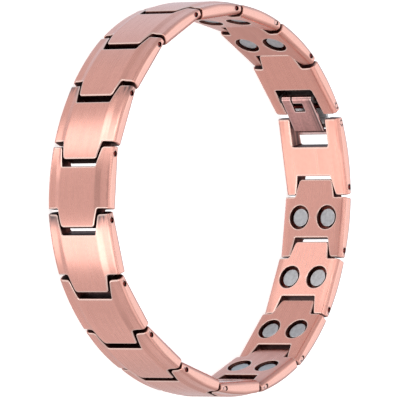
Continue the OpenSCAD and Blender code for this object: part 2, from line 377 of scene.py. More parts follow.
@dataclass
class Plate:
    """A plate between two height fields, with rounded rims and blind round pockets.

    Attributes:
        loops: its edges, the outline first and any hole right through after it.
        top: heights and slopes of its outer face.
        bottom: heights and slopes of its inner face.
        grid: lines of u and of v that carry the inner points of its faces.
        recessed: how dark the walls are at points of u and v, with patina and painted shade.
        soiled: how soiled the faces are at points of u and v.
        pockets: blind holes in the inner face.
        floor: height of the pockets' floor.
        worn: how bright the faces are at points of u and v, a painted highlight.
        aged: how dark the faces look at points of u and v, by side; on the links' inner faces and
            at the blade's lip this is painted shade.
        polished: how much of their wear the rims have at points of u and v.
        halo: how bright with wear the faces are where they meet a rim.
        halo_w: width over which that wear fades.
        rubbed: how bright the walls are where they aren't recessed, a painted sheen.
    """

    loops: list[Loop]
    top: Heights
    bottom: Heights
    grid: tuple[np.ndarray, np.ndarray]
    recessed: Callable[[np.ndarray], np.ndarray]
    soiled: Callable[[np.ndarray], np.ndarray]
    pockets: list[Loop] = field(default_factory=list)
    floor: float = 0.0
    worn: Callable[[np.ndarray], np.ndarray] = lambda flat: np.zeros(len(flat))
    aged: Callable[[np.ndarray, float], np.ndarray] = lambda flat, side: np.zeros(len(flat))
    polished: Callable[[np.ndarray], np.ndarray] = lambda flat: np.ones(len(flat))
    halo: float = 0.65
    halo_w: float = 0.22
    rubbed: float = 0.0

    RIM_STEPS = 5
    POCKET_STEPS = 4
    # Where the rings of a wall and of a pocket's wall lie, as shares of its height
    WALL_SHARES, POCKET_SHARES = (0.2, 0.5, 0.8), (0.25, 1.0)
    # How steeply the wear falls off on both sides of a rim's middle
    WEAR_POWER = 0.7
    # Share of a wall's patina and painted shade on its rims
    RIM_STAIN = 0.9
    # Marks of a pocket's wall and of its floor
    POCKET_WALL, POCKET_FLOOR = (0.0, 0.3, 1.2), (0.0, 0.6, 0.0)
    # The halo has points of its own, but not along edges that face across the band this much
    ACROSS = 0.98
    # Least gaps between points of a face, as shares of the halo's width
    HALO_GAP, GRID_GAP = 0.9, 0.6

    def shell(self) -> Shell:
        """The plate's patches in u, v, h.

        Returns:
            The shell.
        """
        shell = Shell()
        for loop in self.loops:
            self._wall(shell, loop)
        for pocket in self.pockets:
            self._pocket(shell, pocket)
        self._face(shell, self.loops, self.top, 1.0)
        self._face(shell, self.loops + self.pockets, self.bottom, -1.0)
        return shell

    def _rim(self, loop: Loop, heights: Heights, side: float, angles: np.ndarray) -> tuple:
        """Rings of a rounded rim.

        At angle a from the wall, a point lies rim * (1 - cos a) into the metal and
        rim * (1 - sin a) short of the face, and its normal is cos a of the wall's and
        sin a of the face's.

        Args:
            loop: the edge.
            heights: the face's height field.
            side: 1 for the outer face, -1 for the inner one.
            angles: one angle for each ring.

        Returns:
            Points, normals and marks of the rings.
        """
        points, normals, marks = [], [], []
        for a in angles:
            flat = loop.inset(loop.rim * (1 - math.cos(a)))
            height, slope = heights(flat)
            height = height - side * loop.rim * (1 - math.sin(a))
            points.append(np.column_stack([flat, height]))
            wall = np.column_stack([loop.outward, np.zeros(len(flat))])
            face = np.column_stack([-slope, np.ones(len(flat))]) * side
            normals.append(math.cos(a) * wall + math.sin(a) * face)
            edge = self.halo * math.sin(a)
            if math.cos(a) > 0.01:  # elsewhere the rim has reached the face
                edge += (1.0 - self.halo) * math.sin(2 * a) ** self.WEAR_POWER
            edge = edge * self.polished(flat)
            # Walls that aren't recessed carry a painted sheen onto their rims
            edge = np.maximum(edge, self.rubbed * (1 - self.recessed(flat)) * math.cos(a))
            # A recessed wall's patina and painted shade, and a face's painted shade, reach onto
            # the rim
            depth = self.recessed(flat) * math.cos(a) ** 3 * self.RIM_STAIN
            depth = np.maximum(depth, self.aged(flat, side) * math.sin(a))
            soil = self.soiled(flat) * math.sin(a)
            marks.append(np.column_stack([edge, depth, soil]))
        return points, normals, marks

    def _wall(self, shell: Shell, loop: Loop) -> None:
        """Adds the rims and the wall of an edge that goes right through.

        Args:
            shell: gathers the patch.
            loop: the edge.
        """
        down = np.linspace(math.pi / 2, 0.0, self.RIM_STEPS + 1)
        points, normals, marks = self._rim(loop, self.top, 1.0, down)
        low = self._rim(loop, self.bottom, -1.0, down[::-1])
        wall = np.column_stack([loop.outward, np.zeros(len(loop.points))])
        deep = self.recessed(loop.points)
        # Walls that aren't recessed get a painted sheen, and recessed ones patina and painted
        # shade
        mark = np.column_stack([self.rubbed * (1 - deep), deep, self.soiled(loop.points)])
        upper, lower = points[-1], low[0][0]
        for share in self.WALL_SHARES:
            points.append(upper * (1 - share) + lower * share)
            normals.append(wall)
            marks.append(mark)
        points, normals, marks = points + low[0], normals + low[1], marks + low[2]
        shell.add(
            np.concatenate(points),
            np.concatenate(normals),
            np.concatenate(marks),
            ring_faces(len(points), len(loop.points)),
        )

    def _pocket(self, shell: Shell, loop: Loop) -> None:
        """Adds a blind pocket's rim, wall and floor.

        Args:
            shell: gathers the patches.
            loop: the pocket's edge.
        """
        angles = np.linspace(math.pi / 2, 0.0, self.POCKET_STEPS + 1)
        points, normals, marks = self._rim(loop, self.bottom, -1.0, angles)
        count = len(loop.points)
        wall = np.column_stack([loop.outward, np.zeros(count)])
        foot = np.column_stack([loop.points, np.full(count, self.floor)])
        edge = points[-1]
        for share in self.POCKET_SHARES:
            points.append(edge * (1 - share) + foot * share)
            normals.append(wall)
            marks.append(np.tile(self.POCKET_WALL, (count, 1)))
        rings = ring_faces(len(points), count)[:, ::-1]
        shell.add(np.concatenate(points), np.concatenate(normals), np.concatenate(marks), rings)
        middle = np.append(loop.points.mean(axis=0), self.floor)
        shell.add(
            np.vstack([foot, middle]),
            np.tile([0.0, 0.0, -1.0], (count + 1, 1)),
            np.tile(self.POCKET_FLOOR, (count + 1, 1)),
            fan_faces(count),
        )

    def _face(self, shell: Shell, loops: list[Loop], heights: Heights, side: float) -> None:
        """Fills a face between its edges, on the grid's points that lie clear of them.

        Args:
            shell: gathers the patch.
            loops: the edges of the face.
            heights: its height field.
            side: 1 for the outer face, -1 for the inner one.
        """
        edges = [loop.inset(loop.rim) for loop in loops]
        u, v = np.meshgrid(*self.grid, indexing="ij")
        inner = np.column_stack([u.ravel(), v.ravel()])
        rim = np.concatenate(edges)
        ring = np.concatenate(
            [
                loop.inset(loop.rim + self.halo_w)[np.abs(loop.outward[:, 1]) < self.ACROSS]
                for loop in loops
            ]
        )
        ring = self._clear(ring, edges, rim, self.HALO_GAP * self.halo_w)
        inner = self._clear(inner, edges, np.vstack([rim, ring]), self.GRID_GAP * self.halo_w)
        flat = np.vstack([rim, ring, inner])
        joined, base = [], 0
        for edge in edges:
            i = np.arange(len(edge))
            joined += np.column_stack([base + i, base + (i + 1) % len(edge)]).tolist()
            base += len(edge)
        _, _, faces, origin, _, _ = delaunay_2d_cdt(
            [Vector(p) for p in flat.tolist()], joined, [], 0, 1e-7
        )
        first = np.array([o[0] for o in origin])
        faces = first[np.array(faces)]
        faces = faces[inside(flat[faces].mean(axis=1), edges)]
        a, b, c = flat[faces[:, 0]], flat[faces[:, 1]], flat[faces[:, 2]]
        one, two = b - a, c - a
        area = one[:, 0] * two[:, 1] - one[:, 1] * two[:, 0]
        faces = np.where((area * side > 0)[:, None], faces, faces[:, ::-1])
        height, slope = heights(flat)
        marks = np.zeros((len(flat), 3))
        marks[:, 0] = self.worn(flat)
        glow = self.halo * self.polished(rim)
        marks[: len(rim), 0] = np.maximum(marks[: len(rim), 0], glow)
        # Painted shade of the face: the links' inner faces, and the blade's lip
        marks[:, 1] = self.aged(flat, side)
        marks[:, 2] = self.soiled(flat)
        normals = np.column_stack([-slope, np.ones(len(flat))]) * side
        shell.add(np.column_stack([flat, height]), normals, marks, faces)

    @staticmethod
    def _clear(
        points: np.ndarray, edges: list[np.ndarray], others: np.ndarray, apart: float
    ) -> np.ndarray:
        """Keeps the points that lie on the face and clear of others.

        Args:
            points: n by 2.
            edges: the face's edges.
            others: points to stay clear of.
            apart: least distance to them.

        Returns:
            The points kept.
        """
        points = points[inside(points, edges)]
        gap = np.sqrt(((points[:, None, :] - others[None, :, :]) ** 2).sum(axis=2)).min(axis=1)
        return points[gap > apart]


@dataclass(frozen=True)
class Place:
    """Where a piece's own frame stands in the row frame.

    Attributes:
        origin: its origin in millimetres.
        axes: its u, v and h directions as rows.
    """

    origin: np.ndarray
    axes: np.ndarray

    def out(self, points: np.ndarray) -> np.ndarray:
        """Points of the piece's own frame as points of the row frame."""
        return self.origin + points @ self.axes

    def back(self, points: np.ndarray) -> np.ndarray:
        """Points of the row frame as points of the piece's own frame."""
        return (points - self.origin) @ self.axes.T


def new_object(name: str, data: bpy.types.ID) -> bpy.types.Object:
    """A new object in the scene.

    Args:
        name: its name.
        data: its mesh, camera or light.

    Returns:
        The object.
    """
    made = bpy.data.objects.new(name, data)
    bpy.context.scene.collection.objects.link(made)
    return made


def read_vectors(items: bpy.types.bpy_prop_collection, key: str) -> np.ndarray:
    """The vectors that items of a mesh hold under a key, n by 3.

    Args:
        items: vertices, or the data of a layer.
        key: the key, such as co or vector.

    Returns:
        The vectors.
    """
    values = np.empty(len(items) * 3, np.float32)
    items.foreach_get(key, values)
    return values.reshape(-1, 3).astype(float)


def add_layer(mesh: bpy.types.Mesh, name: str, domain: str, values: np.ndarray) -> None:
    """Adds a named layer of vectors to a mesh.

    Args:
        mesh: the mesh.
        name: the layer's name.
        domain: POINT or CORNER.
        values: one vector for each point or corner.
    """
    layer = mesh.attributes.new(name, "FLOAT_VECTOR", domain)
    layer.data.foreach_set("vector", values.astype(np.float32).ravel())


def settle(piece: bpy.types.Object) -> None:
    """Gives an object the mesh that its modifiers make, and drops them and the old mesh.

    Args:
        piece: the object.
    """
    graph = bpy.context.evaluated_depsgraph_get()
    done = bpy.data.meshes.new_from_object(
        piece.evaluated_get(graph), preserve_all_data_layers=True, depsgraph=graph
    )
    piece.modifiers.clear()
    old, piece.data = piece.data, done
    bpy.data.meshes.remove(old)


class Workshop:
    """Turns shells into finished pieces that ride on the bracelet."""

    # Shift of the grain across the brush lines, as a share of the shift along them
    CROSS_SHIFT = 0.37

    def __init__(self, frame: dict) -> None:
        """Keeps the loaded frame."""
        self.frame = frame
        self.triangles = 0

    def piece(
        self,
        name: str,
        shell: Shell,
        place: Place,
        bores: Optional[Shell] = None,
        offset: float = 0.0,
    ) -> bpy.types.Object:
        """Makes a shell a mesh, cuts its bores, places it and gives it its true normals.

        Args:
            name: the piece's name.
            shell: its patches, in the piece's own frame.
            place: where that frame stands.
            bores: drills to cut away, in the same frame.
            offset: shift of the grain, so that no two pieces are alike.

        Returns:
            The object, at the origin of the row frame.
        """
        made = new_object(name, shell.mesh(name))
        if bores is not None:
            self._cut(made, bores)
        mesh = made.data
        mesh.name = name
        points = read_vectors(mesh.vertices, "co")
        shade = read_vectors(mesh.attributes["shade"].data, "vector") @ place.axes
        length = np.linalg.norm(shade, axis=1, keepdims=True)
        shade = shade / np.where(length > TINY, length, 1.0)
        add_layer(mesh, "grain", "POINT", points + [offset, offset * self.CROSS_SHIFT, 0.0])
        there = place.out(points) * METRES
        mesh.vertices.foreach_set("co", there.astype(np.float32).ravel())
        mesh.attributes.remove(mesh.attributes["shade"])
        mesh.update()
        mesh.shade_smooth()
        mesh.normals_split_custom_set(shade.tolist())
        return made

    @staticmethod
    def _cut(made: bpy.types.Object, bores: Shell) -> None:
        """Cuts closed shells away from an object's mesh.

        Args:
            made: the object.
            bores: the shells to cut away.
        """
        name = made.name + "_bores"
        tool = new_object(name, bores.mesh(name))
        cut = made.modifiers.new("bores", "BOOLEAN")
        cut.object, cut.operation, cut.solver = tool, "DIFFERENCE", "EXACT"
        settle(made)
        bpy.data.objects.remove(tool)

    def hand_in(
        self,
        piece: bpy.types.Object,
        node: str,
        material: bpy.types.Material,
    ) -> None:
        """Rides a piece on its node's body, in its node's stead.

        Args:
            piece: the finished piece.
            node: the CAD node that it stands for.
            material: its finish.
        """
        piece.data.materials.clear()
        piece.data.materials.append(material)
        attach(piece, self.frame["nodes"][node]["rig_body"])
        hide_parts(node)
        self.triangles += sum(len(face.vertices) - 2 for face in piece.data.polygons)
        LOG.info("%s stands for %s", piece.name, node)


def centre_of(node: str) -> np.ndarray:
    """The middle of a node's box, in millimetres."""
    low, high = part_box(node)
    return (np.array(low) + np.array(high)) / 2 / METRES


@dataclass
class Row:
    """The closed row of hinges that carries the links.

    Attributes:
        hinges: middles of the 19 cross pins, from the crossbar round to the arm's pin.
    """

    hinges: np.ndarray

    @classmethod
    def read(cls) -> "Row":
        """Takes the hinges from the boxes of the CAD pins."""
        names = ["crossbar_pin"] + [f"hinge_pin_{i:02d}" for i in range(1, 18)] + ["arm_pin"]
        return cls(np.array([centre_of(name) for name in names]))

    def place(self, index: int) -> Place:
        """The frame of the link from one hinge to the next.

        Args:
            index: number of the first hinge.

        Returns:
            The frame, with its origin at the first hinge.
        """
        start, end = self.hinges[index], self.hinges[index + 1]
        along = (end - start) / np.linalg.norm(end - start)
        return Place(start, np.array([along, UPRIGHT, np.cross(along, UPRIGHT)]))

    def pitch(self, index: int) -> float:
        """Distance from one hinge to the next."""
        return float(np.linalg.norm(self.hinges[index + 1] - self.hinges[index]))


# Finishes


class Board:
    """Lays shader nodes in a tree and joins their sockets."""

    def __init__(self, tree: bpy.types.NodeTree) -> None:
        """Starts on a tree, emptied of its nodes."""
        self.tree = tree
        tree.nodes.clear()

    def add(
        self, kind: str, feeds: Optional[dict[object, object]] = None, **settings: object
    ) -> bpy.types.Node:
        """Adds a node, sets its properties and feeds its inputs.

        Args:
            kind: the node's type.
            feeds: what its inputs get, by name or place.
            settings: properties by name.

        Returns:
            The node.
        """
        node = self.tree.nodes.new(kind)
        node.location = (len(self.tree.nodes) * 180, 0)
        for key, value in settings.items():
            setattr(node, key, value)
        for key, value in (feeds or {}).items():
            self.feed(node.inputs[key], value)
        return node

    def feed(self, slot: bpy.types.NodeSocket, value: object) -> None:
        """Joins a socket to an input, or sets the input to a number, colour or vector.

        Args:
            slot: the input.
            value: the socket, number, colour or vector.
        """
        if isinstance(value, bpy.types.NodeSocket):
            self.tree.links.new(value, slot)
        elif slot.type == "RGBA":
            slot.default_value = (*value, 1.0)
        else:
            slot.default_value = value

    def math(self, operation: str, *values: object, clamp: bool = False) -> bpy.types.NodeSocket:
        """A Math node over sockets or numbers.

        Args:
            operation: the node's operation.
            values: its inputs, sockets or numbers.
            clamp: whether the result is kept between 0 and 1.

        Returns:
            Its output.
        """
        feeds = dict(enumerate(values))
        return self.add("ShaderNodeMath", feeds, operation=operation, use_clamp=clamp).outputs[0]

    def blend(
        self, share: object, first: object, second: object, how: str = "MIX"
    ) -> bpy.types.NodeSocket:
        """A colour between two, by a share, or one tinted by another.

        Args:
            share: socket or number from 0 to 1.
            first: colour at 0, a socket or three numbers.
            second: colour at 1, a socket or three numbers.
            how: MIX or MULTIPLY.

        Returns:
            The colour.
        """
        feeds = {0: share, 6: first, 7: second}
        return self.add("ShaderNodeMix", feeds, data_type="RGBA", blend_type=how).outputs[2]

    def spread(
        self, value: object, low: float, high: float, to: tuple[float, float] = (0.0, 1.0)
    ) -> bpy.types.NodeSocket:
        """Maps a value's range onto another with smooth ends, clamped.

        Args:
            value: the socket.
            low: value that gives the first result.
            high: value that gives the second result.
            to: the two results.

        Returns:
            The mapped value.
        """
        feeds = dict(enumerate((value, low, high, *to)))
        return self.add("ShaderNodeMapRange", feeds, interpolation_type="SMOOTHSTEP").outputs[0]

    def finish(self, looks: dict[str, object]) -> None:
        """Puts a Principled shader, fed with its looks by name, on the material's output."""
        shader = self.add("ShaderNodeBsdfPrincipled", looks)
        self.add("ShaderNodeOutputMaterial", {0: shader.outputs[0]})


def new_material(name: str) -> tuple[bpy.types.Material, Board]:
    """A new material and the board of its emptied tree.

    Args:
        name: the material's name.

    Returns:
        Both.
    """
    made = bpy.data.materials.new(name)
    made.use_nodes = True
    return made, Board(made.node_tree)


def shader_group(
    name: str, inputs: Sequence[tuple[str, str, object]], outputs: Sequence[tuple[str, str]]
) -> tuple[bpy.types.NodeTree, Board, bpy.types.Node, bpy.types.Node]:
    """Starts a shader node group with named sockets.

    Args:
        name: the group's name.
        inputs: name, socket type and default value of each input.
        outputs: name and socket type of each output.

    Returns:
        The group, its board, its input node and its output node.
    """
    group = bpy.data.node_groups.new(name, "ShaderNodeTree")
    for label, kind, value in inputs:
        made = group.interface.new_socket(label, in_out="INPUT", socket_type=kind)
        if value is not None:
            made.default_value = value
    for label, kind in outputs:
        group.interface.new_socket(label, in_out="OUTPUT", socket_type=kind)
    board = Board(group)
    return group, board, board.add("NodeGroupInput"), board.add("NodeGroupOutput")


class Effects:
    """Shader groups that several finishes use."""

    # Share of the fineness and shift of each noise of the brush lines, the finest first
    LINES = ((1.0, 0.0), (0.31, 17.3), (0.09, 41.9))
    # Values of the stains' noise that count as free of stain and as full stain
    CLOUDS = (0.38, 0.68)

    def __init__(self) -> None:
        """Builds the groups once."""
        self.brushing = self._brushing()
        self.stains = self._stains()

    def _brushing(self) -> bpy.types.NodeTree:
        """Fine lines along the first axis of a vector, as an abrasive belt leaves them.

        Three noises are stretched along the band, each with a share of the fineness and a
        shift of its own. The mean of the two finest is the height of the scratches, and the
        mean of the two broadest is the tone that shifts from line to line.

        Returns:
            The group.
        """
        group, board, given, result = shader_group(
            "brush_lines",
            [
                ("Vector", "NodeSocketVector", None),
                ("Fineness", "NodeSocketFloat", 6.0),
                ("Length", "NodeSocketFloat", 0.06),
            ],
            [("Height", "NodeSocketFloat"), ("Tone", "NodeSocketFloat")],
        )
        x, y, z = board.add("ShaderNodeSeparateXYZ", {0: given.outputs["Vector"]}).outputs
        heights = []
        for share, shift in self.LINES:
            fine = board.math("MULTIPLY", given.outputs["Fineness"], share)
            drawn = board.math("MULTIPLY", x, given.outputs["Length"])
            drawn = board.math("ADD", board.math("MULTIPLY", drawn, fine), shift)
            across, away = (board.math("MULTIPLY", part, fine) for part in (y, z))
            place = board.add("ShaderNodeCombineXYZ", {0: drawn, 1: across, 2: away}).outputs[0]
            noise = board.add("ShaderNodeTexNoise", {"Vector": place, "Scale": 1.0, "Detail": 2.0})
            heights.append(noise.outputs["Fac"])
        for label, pair in (("Height", heights[:2]), ("Tone", heights[1:])):
            mean = board.math("MULTIPLY", board.math("ADD", *pair), 0.5)
            board.feed(result.inputs[label], mean)
        return group

    def _stains(self) -> bpy.types.NodeTree:
        """Soft cloudy stains of a given size, as a mask from 0 to 1.

        Returns:
            The group.
        """
        group, board, given, result = shader_group(
            "stains",
            [("Vector", "NodeSocketVector", None), ("Scale", "NodeSocketFloat", 1.0)],
            [("Mask", "NodeSocketFloat")],
        )
        feeds = {label: given.outputs[label] for label in ("Vector", "Scale")}
        noise = board.add("ShaderNodeTexNoise", {**feeds, "Detail": 4.0, "Roughness": 0.6})
        board.feed(result.inputs["Mask"], board.spread(noise.outputs["Fac"], *self.CLOUDS))
        return group


@dataclass(frozen=True)
class BrushedMetal:
    """A brushed metal with rims bright from wear and painted sheen, recesses dark from patina and
    painted shade.

    A low recess mark is a thin warm painted shade on the metal, and more of it is dark patina and
    painted shade.

    Attributes:
        name: the material's name.
        colour: the plain metal.
        worn: the brighter metal of its rims, for wear and for painted highlight and sheen.
        stained: the dark metal of its recesses, patina and painted shade, and of its stains.
        soiled: the dull metal left where neighbours rub.
        roughness: mean roughness of the faces.
        spread: anisotropy, across the brush lines.
        depth: depth of the brush lines in millimetres.
        fineness: brush lines per millimetre.
        tone: how much the lines shift the colour.
        stain: how much stain lies on the open faces.
        satin: the share of light that is scattered and not mirrored.
    """

    name: str
    colour: tuple[float, float, float]
    worn: tuple[float, float, float]
    stained: tuple[float, float, float]
    soiled: tuple[float, float, float] = (0.2, 0.14, 0.14)
    roughness: float = 0.27
    spread: float = 0.75
    depth: float = 0.002
    fineness: float = 7.0
    tone: float = 0.045
    stain: float = 0.05
    satin: float = 0.0

    # Tones of the brush lines that count as dark and light
    TONES = (0.3, 0.7)
    # Tones between which soil sets in, and the share of it that lies on every line
    SMEARS, LEAST_SMEAR = (0.35, 0.62), 0.15
    # Colour of a dark line, as a share of the plain metal's
    LINE_SHADE = 0.72
    # Tint of the thin painted shade, and the recess marks of its full strength and of full dark
    # patina and painted shade
    FILM, FILM_MARK, STAIN_MARK = (0.955, 0.9, 0.88), 0.2, 0.85
    # Fineness of the stain's clouds and how much they thin the dark patina and painted shade
    STAIN_SCALE, MOTTLE = 1.4, 0.08
    # Least edge mark that shows, and the share of bright metal on a full edge
    EDGE_MARK, EDGE_SHARE = 0.05, 0.85
    # What tone, wear and the dark recess marks add to the roughness
    TONE_ROUGH, EDGE_ROUGH, STAIN_ROUGH = 0.04, -0.08, 0.25

    def material(self, effects: Effects) -> bpy.types.Material:
        """Builds the material.

        Args:
            effects: the shared groups.

        Returns:
            The material.
        """
        made, board = new_material(self.name)
        grain, marks = (
            board.add("ShaderNodeAttribute", attribute_name=name).outputs["Vector"]
            for name in ("grain", "marks")
        )
        edge, recess, soil = board.add("ShaderNodeSeparateXYZ", {0: marks}).outputs
        feeds = {"Vector": grain, "Fineness": self.fineness}
        brush = board.add("ShaderNodeGroup", feeds, node_tree=effects.brushing).outputs
        feeds = {"Vector": grain, "Scale": self.STAIN_SCALE}
        cloud = board.add("ShaderNodeGroup", feeds, node_tree=effects.stains).outputs["Mask"]
        tone = board.spread(brush["Tone"], *self.TONES, (-1.0, 1.0))
        dark = tuple(part * self.LINE_SHADE for part in self.colour)
        shade = board.math("MULTIPLY_ADD", tone, self.tone, self.tone, clamp=True)
        colour = board.blend(shade, self.colour, dark)
        colour = board.blend(board.math("MULTIPLY", cloud, self.stain), colour, self.stained)
        smear = board.spread(brush["Tone"], *self.SMEARS, (self.LEAST_SMEAR, 1.0))
        smear = board.math("MULTIPLY", smear, soil, clamp=True)
        colour = board.blend(smear, colour, self.soiled)
        # A low recess mark tints the metal with a thin painted shade
        film = board.spread(recess, 0.0, self.FILM_MARK)
        colour = board.blend(film, colour, self.FILM, "MULTIPLY")
        # Edges take the bright metal: wear on the rims, painted highlight and sheen on the blade
        # and side walls
        edges = board.spread(edge, self.EDGE_MARK, 1.0, (0.0, self.EDGE_SHARE))
        colour = board.blend(edges, colour, self.worn)
        # A higher recess mark darkens the metal with patina and painted shade
        deep = board.spread(recess, self.FILM_MARK, self.STAIN_MARK)
        deep = board.math("MULTIPLY", deep, board.math("MULTIPLY_ADD", cloud, -self.MOTTLE, 1.0))
        colour = board.blend(deep, colour, self.stained)
        rough = board.math("MULTIPLY_ADD", tone, self.TONE_ROUGH, self.roughness)
        rough = board.math("MULTIPLY_ADD", edges, self.EDGE_ROUGH, rough)
        rough = board.math("MULTIPLY_ADD", deep, self.STAIN_ROUGH, rough)
        feeds = {"Height": brush["Height"], "Strength": 1.0, "Distance": self.depth * METRES}
        bump = board.add("ShaderNodeBump", feeds)
        turn = board.add("ShaderNodeTangent", direction_type="RADIAL", axis="Z")
        looks = {
            "Base Color": colour,
            "Metallic": 1.0 - self.satin,
            "Roughness": rough,
            "Anisotropic": self.spread,
            "Anisotropic Rotation": 0.25,
            "Normal": bump.outputs[0],
            "Tangent": turn.outputs[0],
        }
        board.finish(looks)
        return made


@dataclass(frozen=True)
class PaperFloor:
    """A pale seamless paper floor.

    Attributes:
        colour: the paper.
        glow: light that the paper gives off, which keeps it pale.
        fineness: scale of its tooth.
        tooth: depth of its tooth in millimetres.
    """

    colour: tuple[float, float, float] = (0.9, 0.9, 0.9)
    glow: float = 0.62
    fineness: float = 900.0
    tooth: float = 0.02

    def material(self) -> bpy.types.Material:
        """Builds the paper, with a faint tooth.

        Returns:
            The material.
        """
        made, board = new_material("pale_paper")
        place = board.add("ShaderNodeTexCoord").outputs["Object"]
        noise = board.add("ShaderNodeTexNoise", {"Vector": place, "Scale": self.fineness})
        feeds = {"Height": noise.outputs["Fac"], "Distance": self.tooth * METRES}
        bump = board.add("ShaderNodeBump", feeds)
        looks = {
            "Base Color": self.colour,
            "Roughness": 0.9,
            "Specular IOR Level": 0.0,
            "Emission Color": (1.0, 1.0, 1.0),
            "Emission Strength": self.glow,
            "Normal": bump.outputs[0],
        }
        board.finish(looks)
        return made


# Pieces


@dataclass(frozen=True)
class Corner:
    """Two corners of a link's outline, one on each side of the band.

    Attributes:
        reach: their distance from a pin, along the band.
        half_w: their distance from the middle of the band.
        radius: radius of their rounding.
    """

    reach: float
    half_w: float
    radius: float

    def row(self, pin: float, way: int) -> tuple[float, float, float]:
        """The corner as u, half width and radius, on the pin's side given by the sign."""
        return pin + way * self.reach, self.half_w, self.radius


@dataclass
class Link:
    """One link of the band, with its ends, its pockets and its pin bores.

    The outer face is an arc along the band. Its radius shrinks towards the long edges by the
    falls of the bends, so that a raised middle drops to two flanks and a narrow bevel.

    Attributes:
        node: the CAD node that it stands for.
        index: its place in the row.
        start: the form of its first end.
        finish: the form of its last end.
        pitch: distance between its pins.
        pockets: whether it has magnet pockets.
        half_w: half of its width.
        bow_r: radius of its outer face along the band.
        crest: height of its outer face over the pins, at its middle.
        inner: depth of its inner face under the pins.
        rim: radius of its rims.
        side_rim: radius of the rims along its long edges.
        pocket_r: radius of its magnet pockets.
        pocket_rim: radius of their rims.
        pocket_depth: their depth.
        magnet_reach: distance of the magnets from the middle of the band.
        bore_r: radius of its pin bores.
        bore_depth: their depth.
        bore_cone: width and depth of the cone in which they end.
        soil: how soiled its ears are.
        film: how strong the painted shade on its inner face is.
        bends: where its outer face bends down across the band.
        inner_bends: where its inner face bends up.
        corner_r: rounding at the ends of its long edges.
        notch: corners in its notch.
        ear: corners at the ends of its ears.
        pocket: corners in its open pocket.
        catch_tip: corners at the ends beside that.
        shoulder: corners at the foot of its tongue.
        tongue: corners at the tongue's end.
        slot_tip: corners at the ends beside its slot.
        slot: corners in that slot.
    """

    node: str
    index: int
    start: End
    finish: End
    pitch: float
    pockets: bool = True
    half_w: float = 7.1
    bow_r: float = 37.0
    crest: float = 1.7
    inner: float = 1.3
    rim: float = 0.23
    side_rim: float = 0.32
    pocket_r: float = 2.2
    pocket_rim: float = 0.15
    pocket_depth: float = 1.65
    magnet_reach: float = 3.15
    bore_r: float = 0.4
    bore_depth: float = 1.1
    bore_cone: float = 0.12
    soil: float = 0.15
    film: float = 0.2
    bends: tuple[Bend, ...] = (
        Bend(3.8, 0.5, 0.33),
        Bend(4.9, 0.5, -0.26),
        Bend(6.45, 0.6, 1.0),
    )
    inner_bends: tuple[Bend, ...] = (Bend(5.2, 0.6, 0.1), Bend(6.3, 0.55, 0.9))
    corner_r: float = 0.25
    notch: Corner = Corner(2.3, 3.784, 0.27)
    ear: Corner = Corner(1.3, 4.602, 0.6)
    pocket: Corner = Corner(4.75, 4.2, 0.4)
    catch_tip: Corner = Corner(1.0, 4.2, 0.27)
    shoulder: Corner = Corner(1.95, 4.5, 0.4)
    tongue: Corner = Corner(1.35, 3.75, 0.7)
    slot_tip: Corner = Corner(1.0, 4.1, 0.27)
    slot: Corner = Corner(4.2, 4.1, 0.4)

    # Steps round a pocket and round a bore
    POCKET_STEPS, BORE_STEPS = 56, 28
    # The grid's lines: their spacing along the band, how far they run past the two pins, and
    # the places of those across it, on one side and on its bevel
    GRID_STEP, GRID_OVER = 0.8, (1.2, 1.3)
    GRID_LINES = (0.0, 1.2, 2.4, 3.5, 3.8, 3.95, 4.1, 4.3, 4.6, 4.9, 5.05, 5.2, 5.4, 5.7, 6.1)
    EDGE_LINES = (6.35, 6.5, 6.62, 6.74)
    # Darkening of the slot's walls, patina and painted shade, and soil on them
    SLOT_STAIN, SLOT_SOIL = 0.6, 1.6
    # Share of their polish that the long edges keep, and painted sheen on walls that face no other
    # link
    LEAST_POLISH, RUBBED = 0.1, 0.4
    # Darkening of the bores' walls and of their ends, patina and painted shade in the holes
    BORE_STAIN, END_STAIN = 0.4, 0.6
    # How far past the side face the drills' cones run, and the drills themselves
    CONE_OVER, BORE_OVER = 0.02, 0.5
    # Shift of the grain from link to link
    GRAIN_STEP = 23.7

    def corners(self) -> np.ndarray:
        """Rows of u, half width and corner radius, from the start to the finish.

        Returns:
            One row for each corner on one side of the band.
        """
        ends = {
            End.NOTCH: ((self.notch, 1), (self.ear, -1)),
            End.POCKET: ((self.pocket, 1), (self.catch_tip, -1)),
            End.TONGUE: ((self.shoulder, -1), (self.tongue, 1)),
            End.SLOT: ((self.slot_tip, 1), (self.slot, -1)),
        }
        first = [corner.row(0.0, way) for corner, way in ends[self.start]]
        last = [corner.row(self.pitch, way) for corner, way in ends[self.finish]]
        edge = [(u, self.half_w, self.corner_r) for u in (first[-1][0], last[0][0])]
        return np.array(first + edge + last)

    def outline(self) -> Loop:
        """The link seen from outside, with the lower half and then the upper half.

        The rim grows from its own radius at the ends of the long edges to the side rim's
        along them, by the smooth step of the distance from the end.

        Returns:
            The loop.
        """
        half = self.corners()
        lower = half * [1.0, -1.0, 1.0]
        loop = rounded_loop(np.vstack([lower, half[::-1]]), spacing=0.6, rim=self.rim)
        long_edge = np.abs(loop.points[:, 1]) > self.half_w - 0.01
        u = loop.points[:, 0]
        low, high = u[long_edge].min(), u[long_edge].max()
        run = ramp(np.minimum(u - low, high - u), none=0.1, full=1.1) * long_edge
        loop.rim = self.rim + (self.side_rim - self.rim) * smooth_step(run)
        return loop

    @staticmethod
    def fallen(bends: Sequence[Bend], flat: np.ndarray) -> tuple[np.ndarray, np.ndarray]:
        """Sum of the falls and of the slopes of several bends at points of u and v."""
        each = [bend.fall(np.abs(flat[:, 1])) for bend in bends]
        return sum(fall for fall, _ in each), sum(slope for _, slope in each)

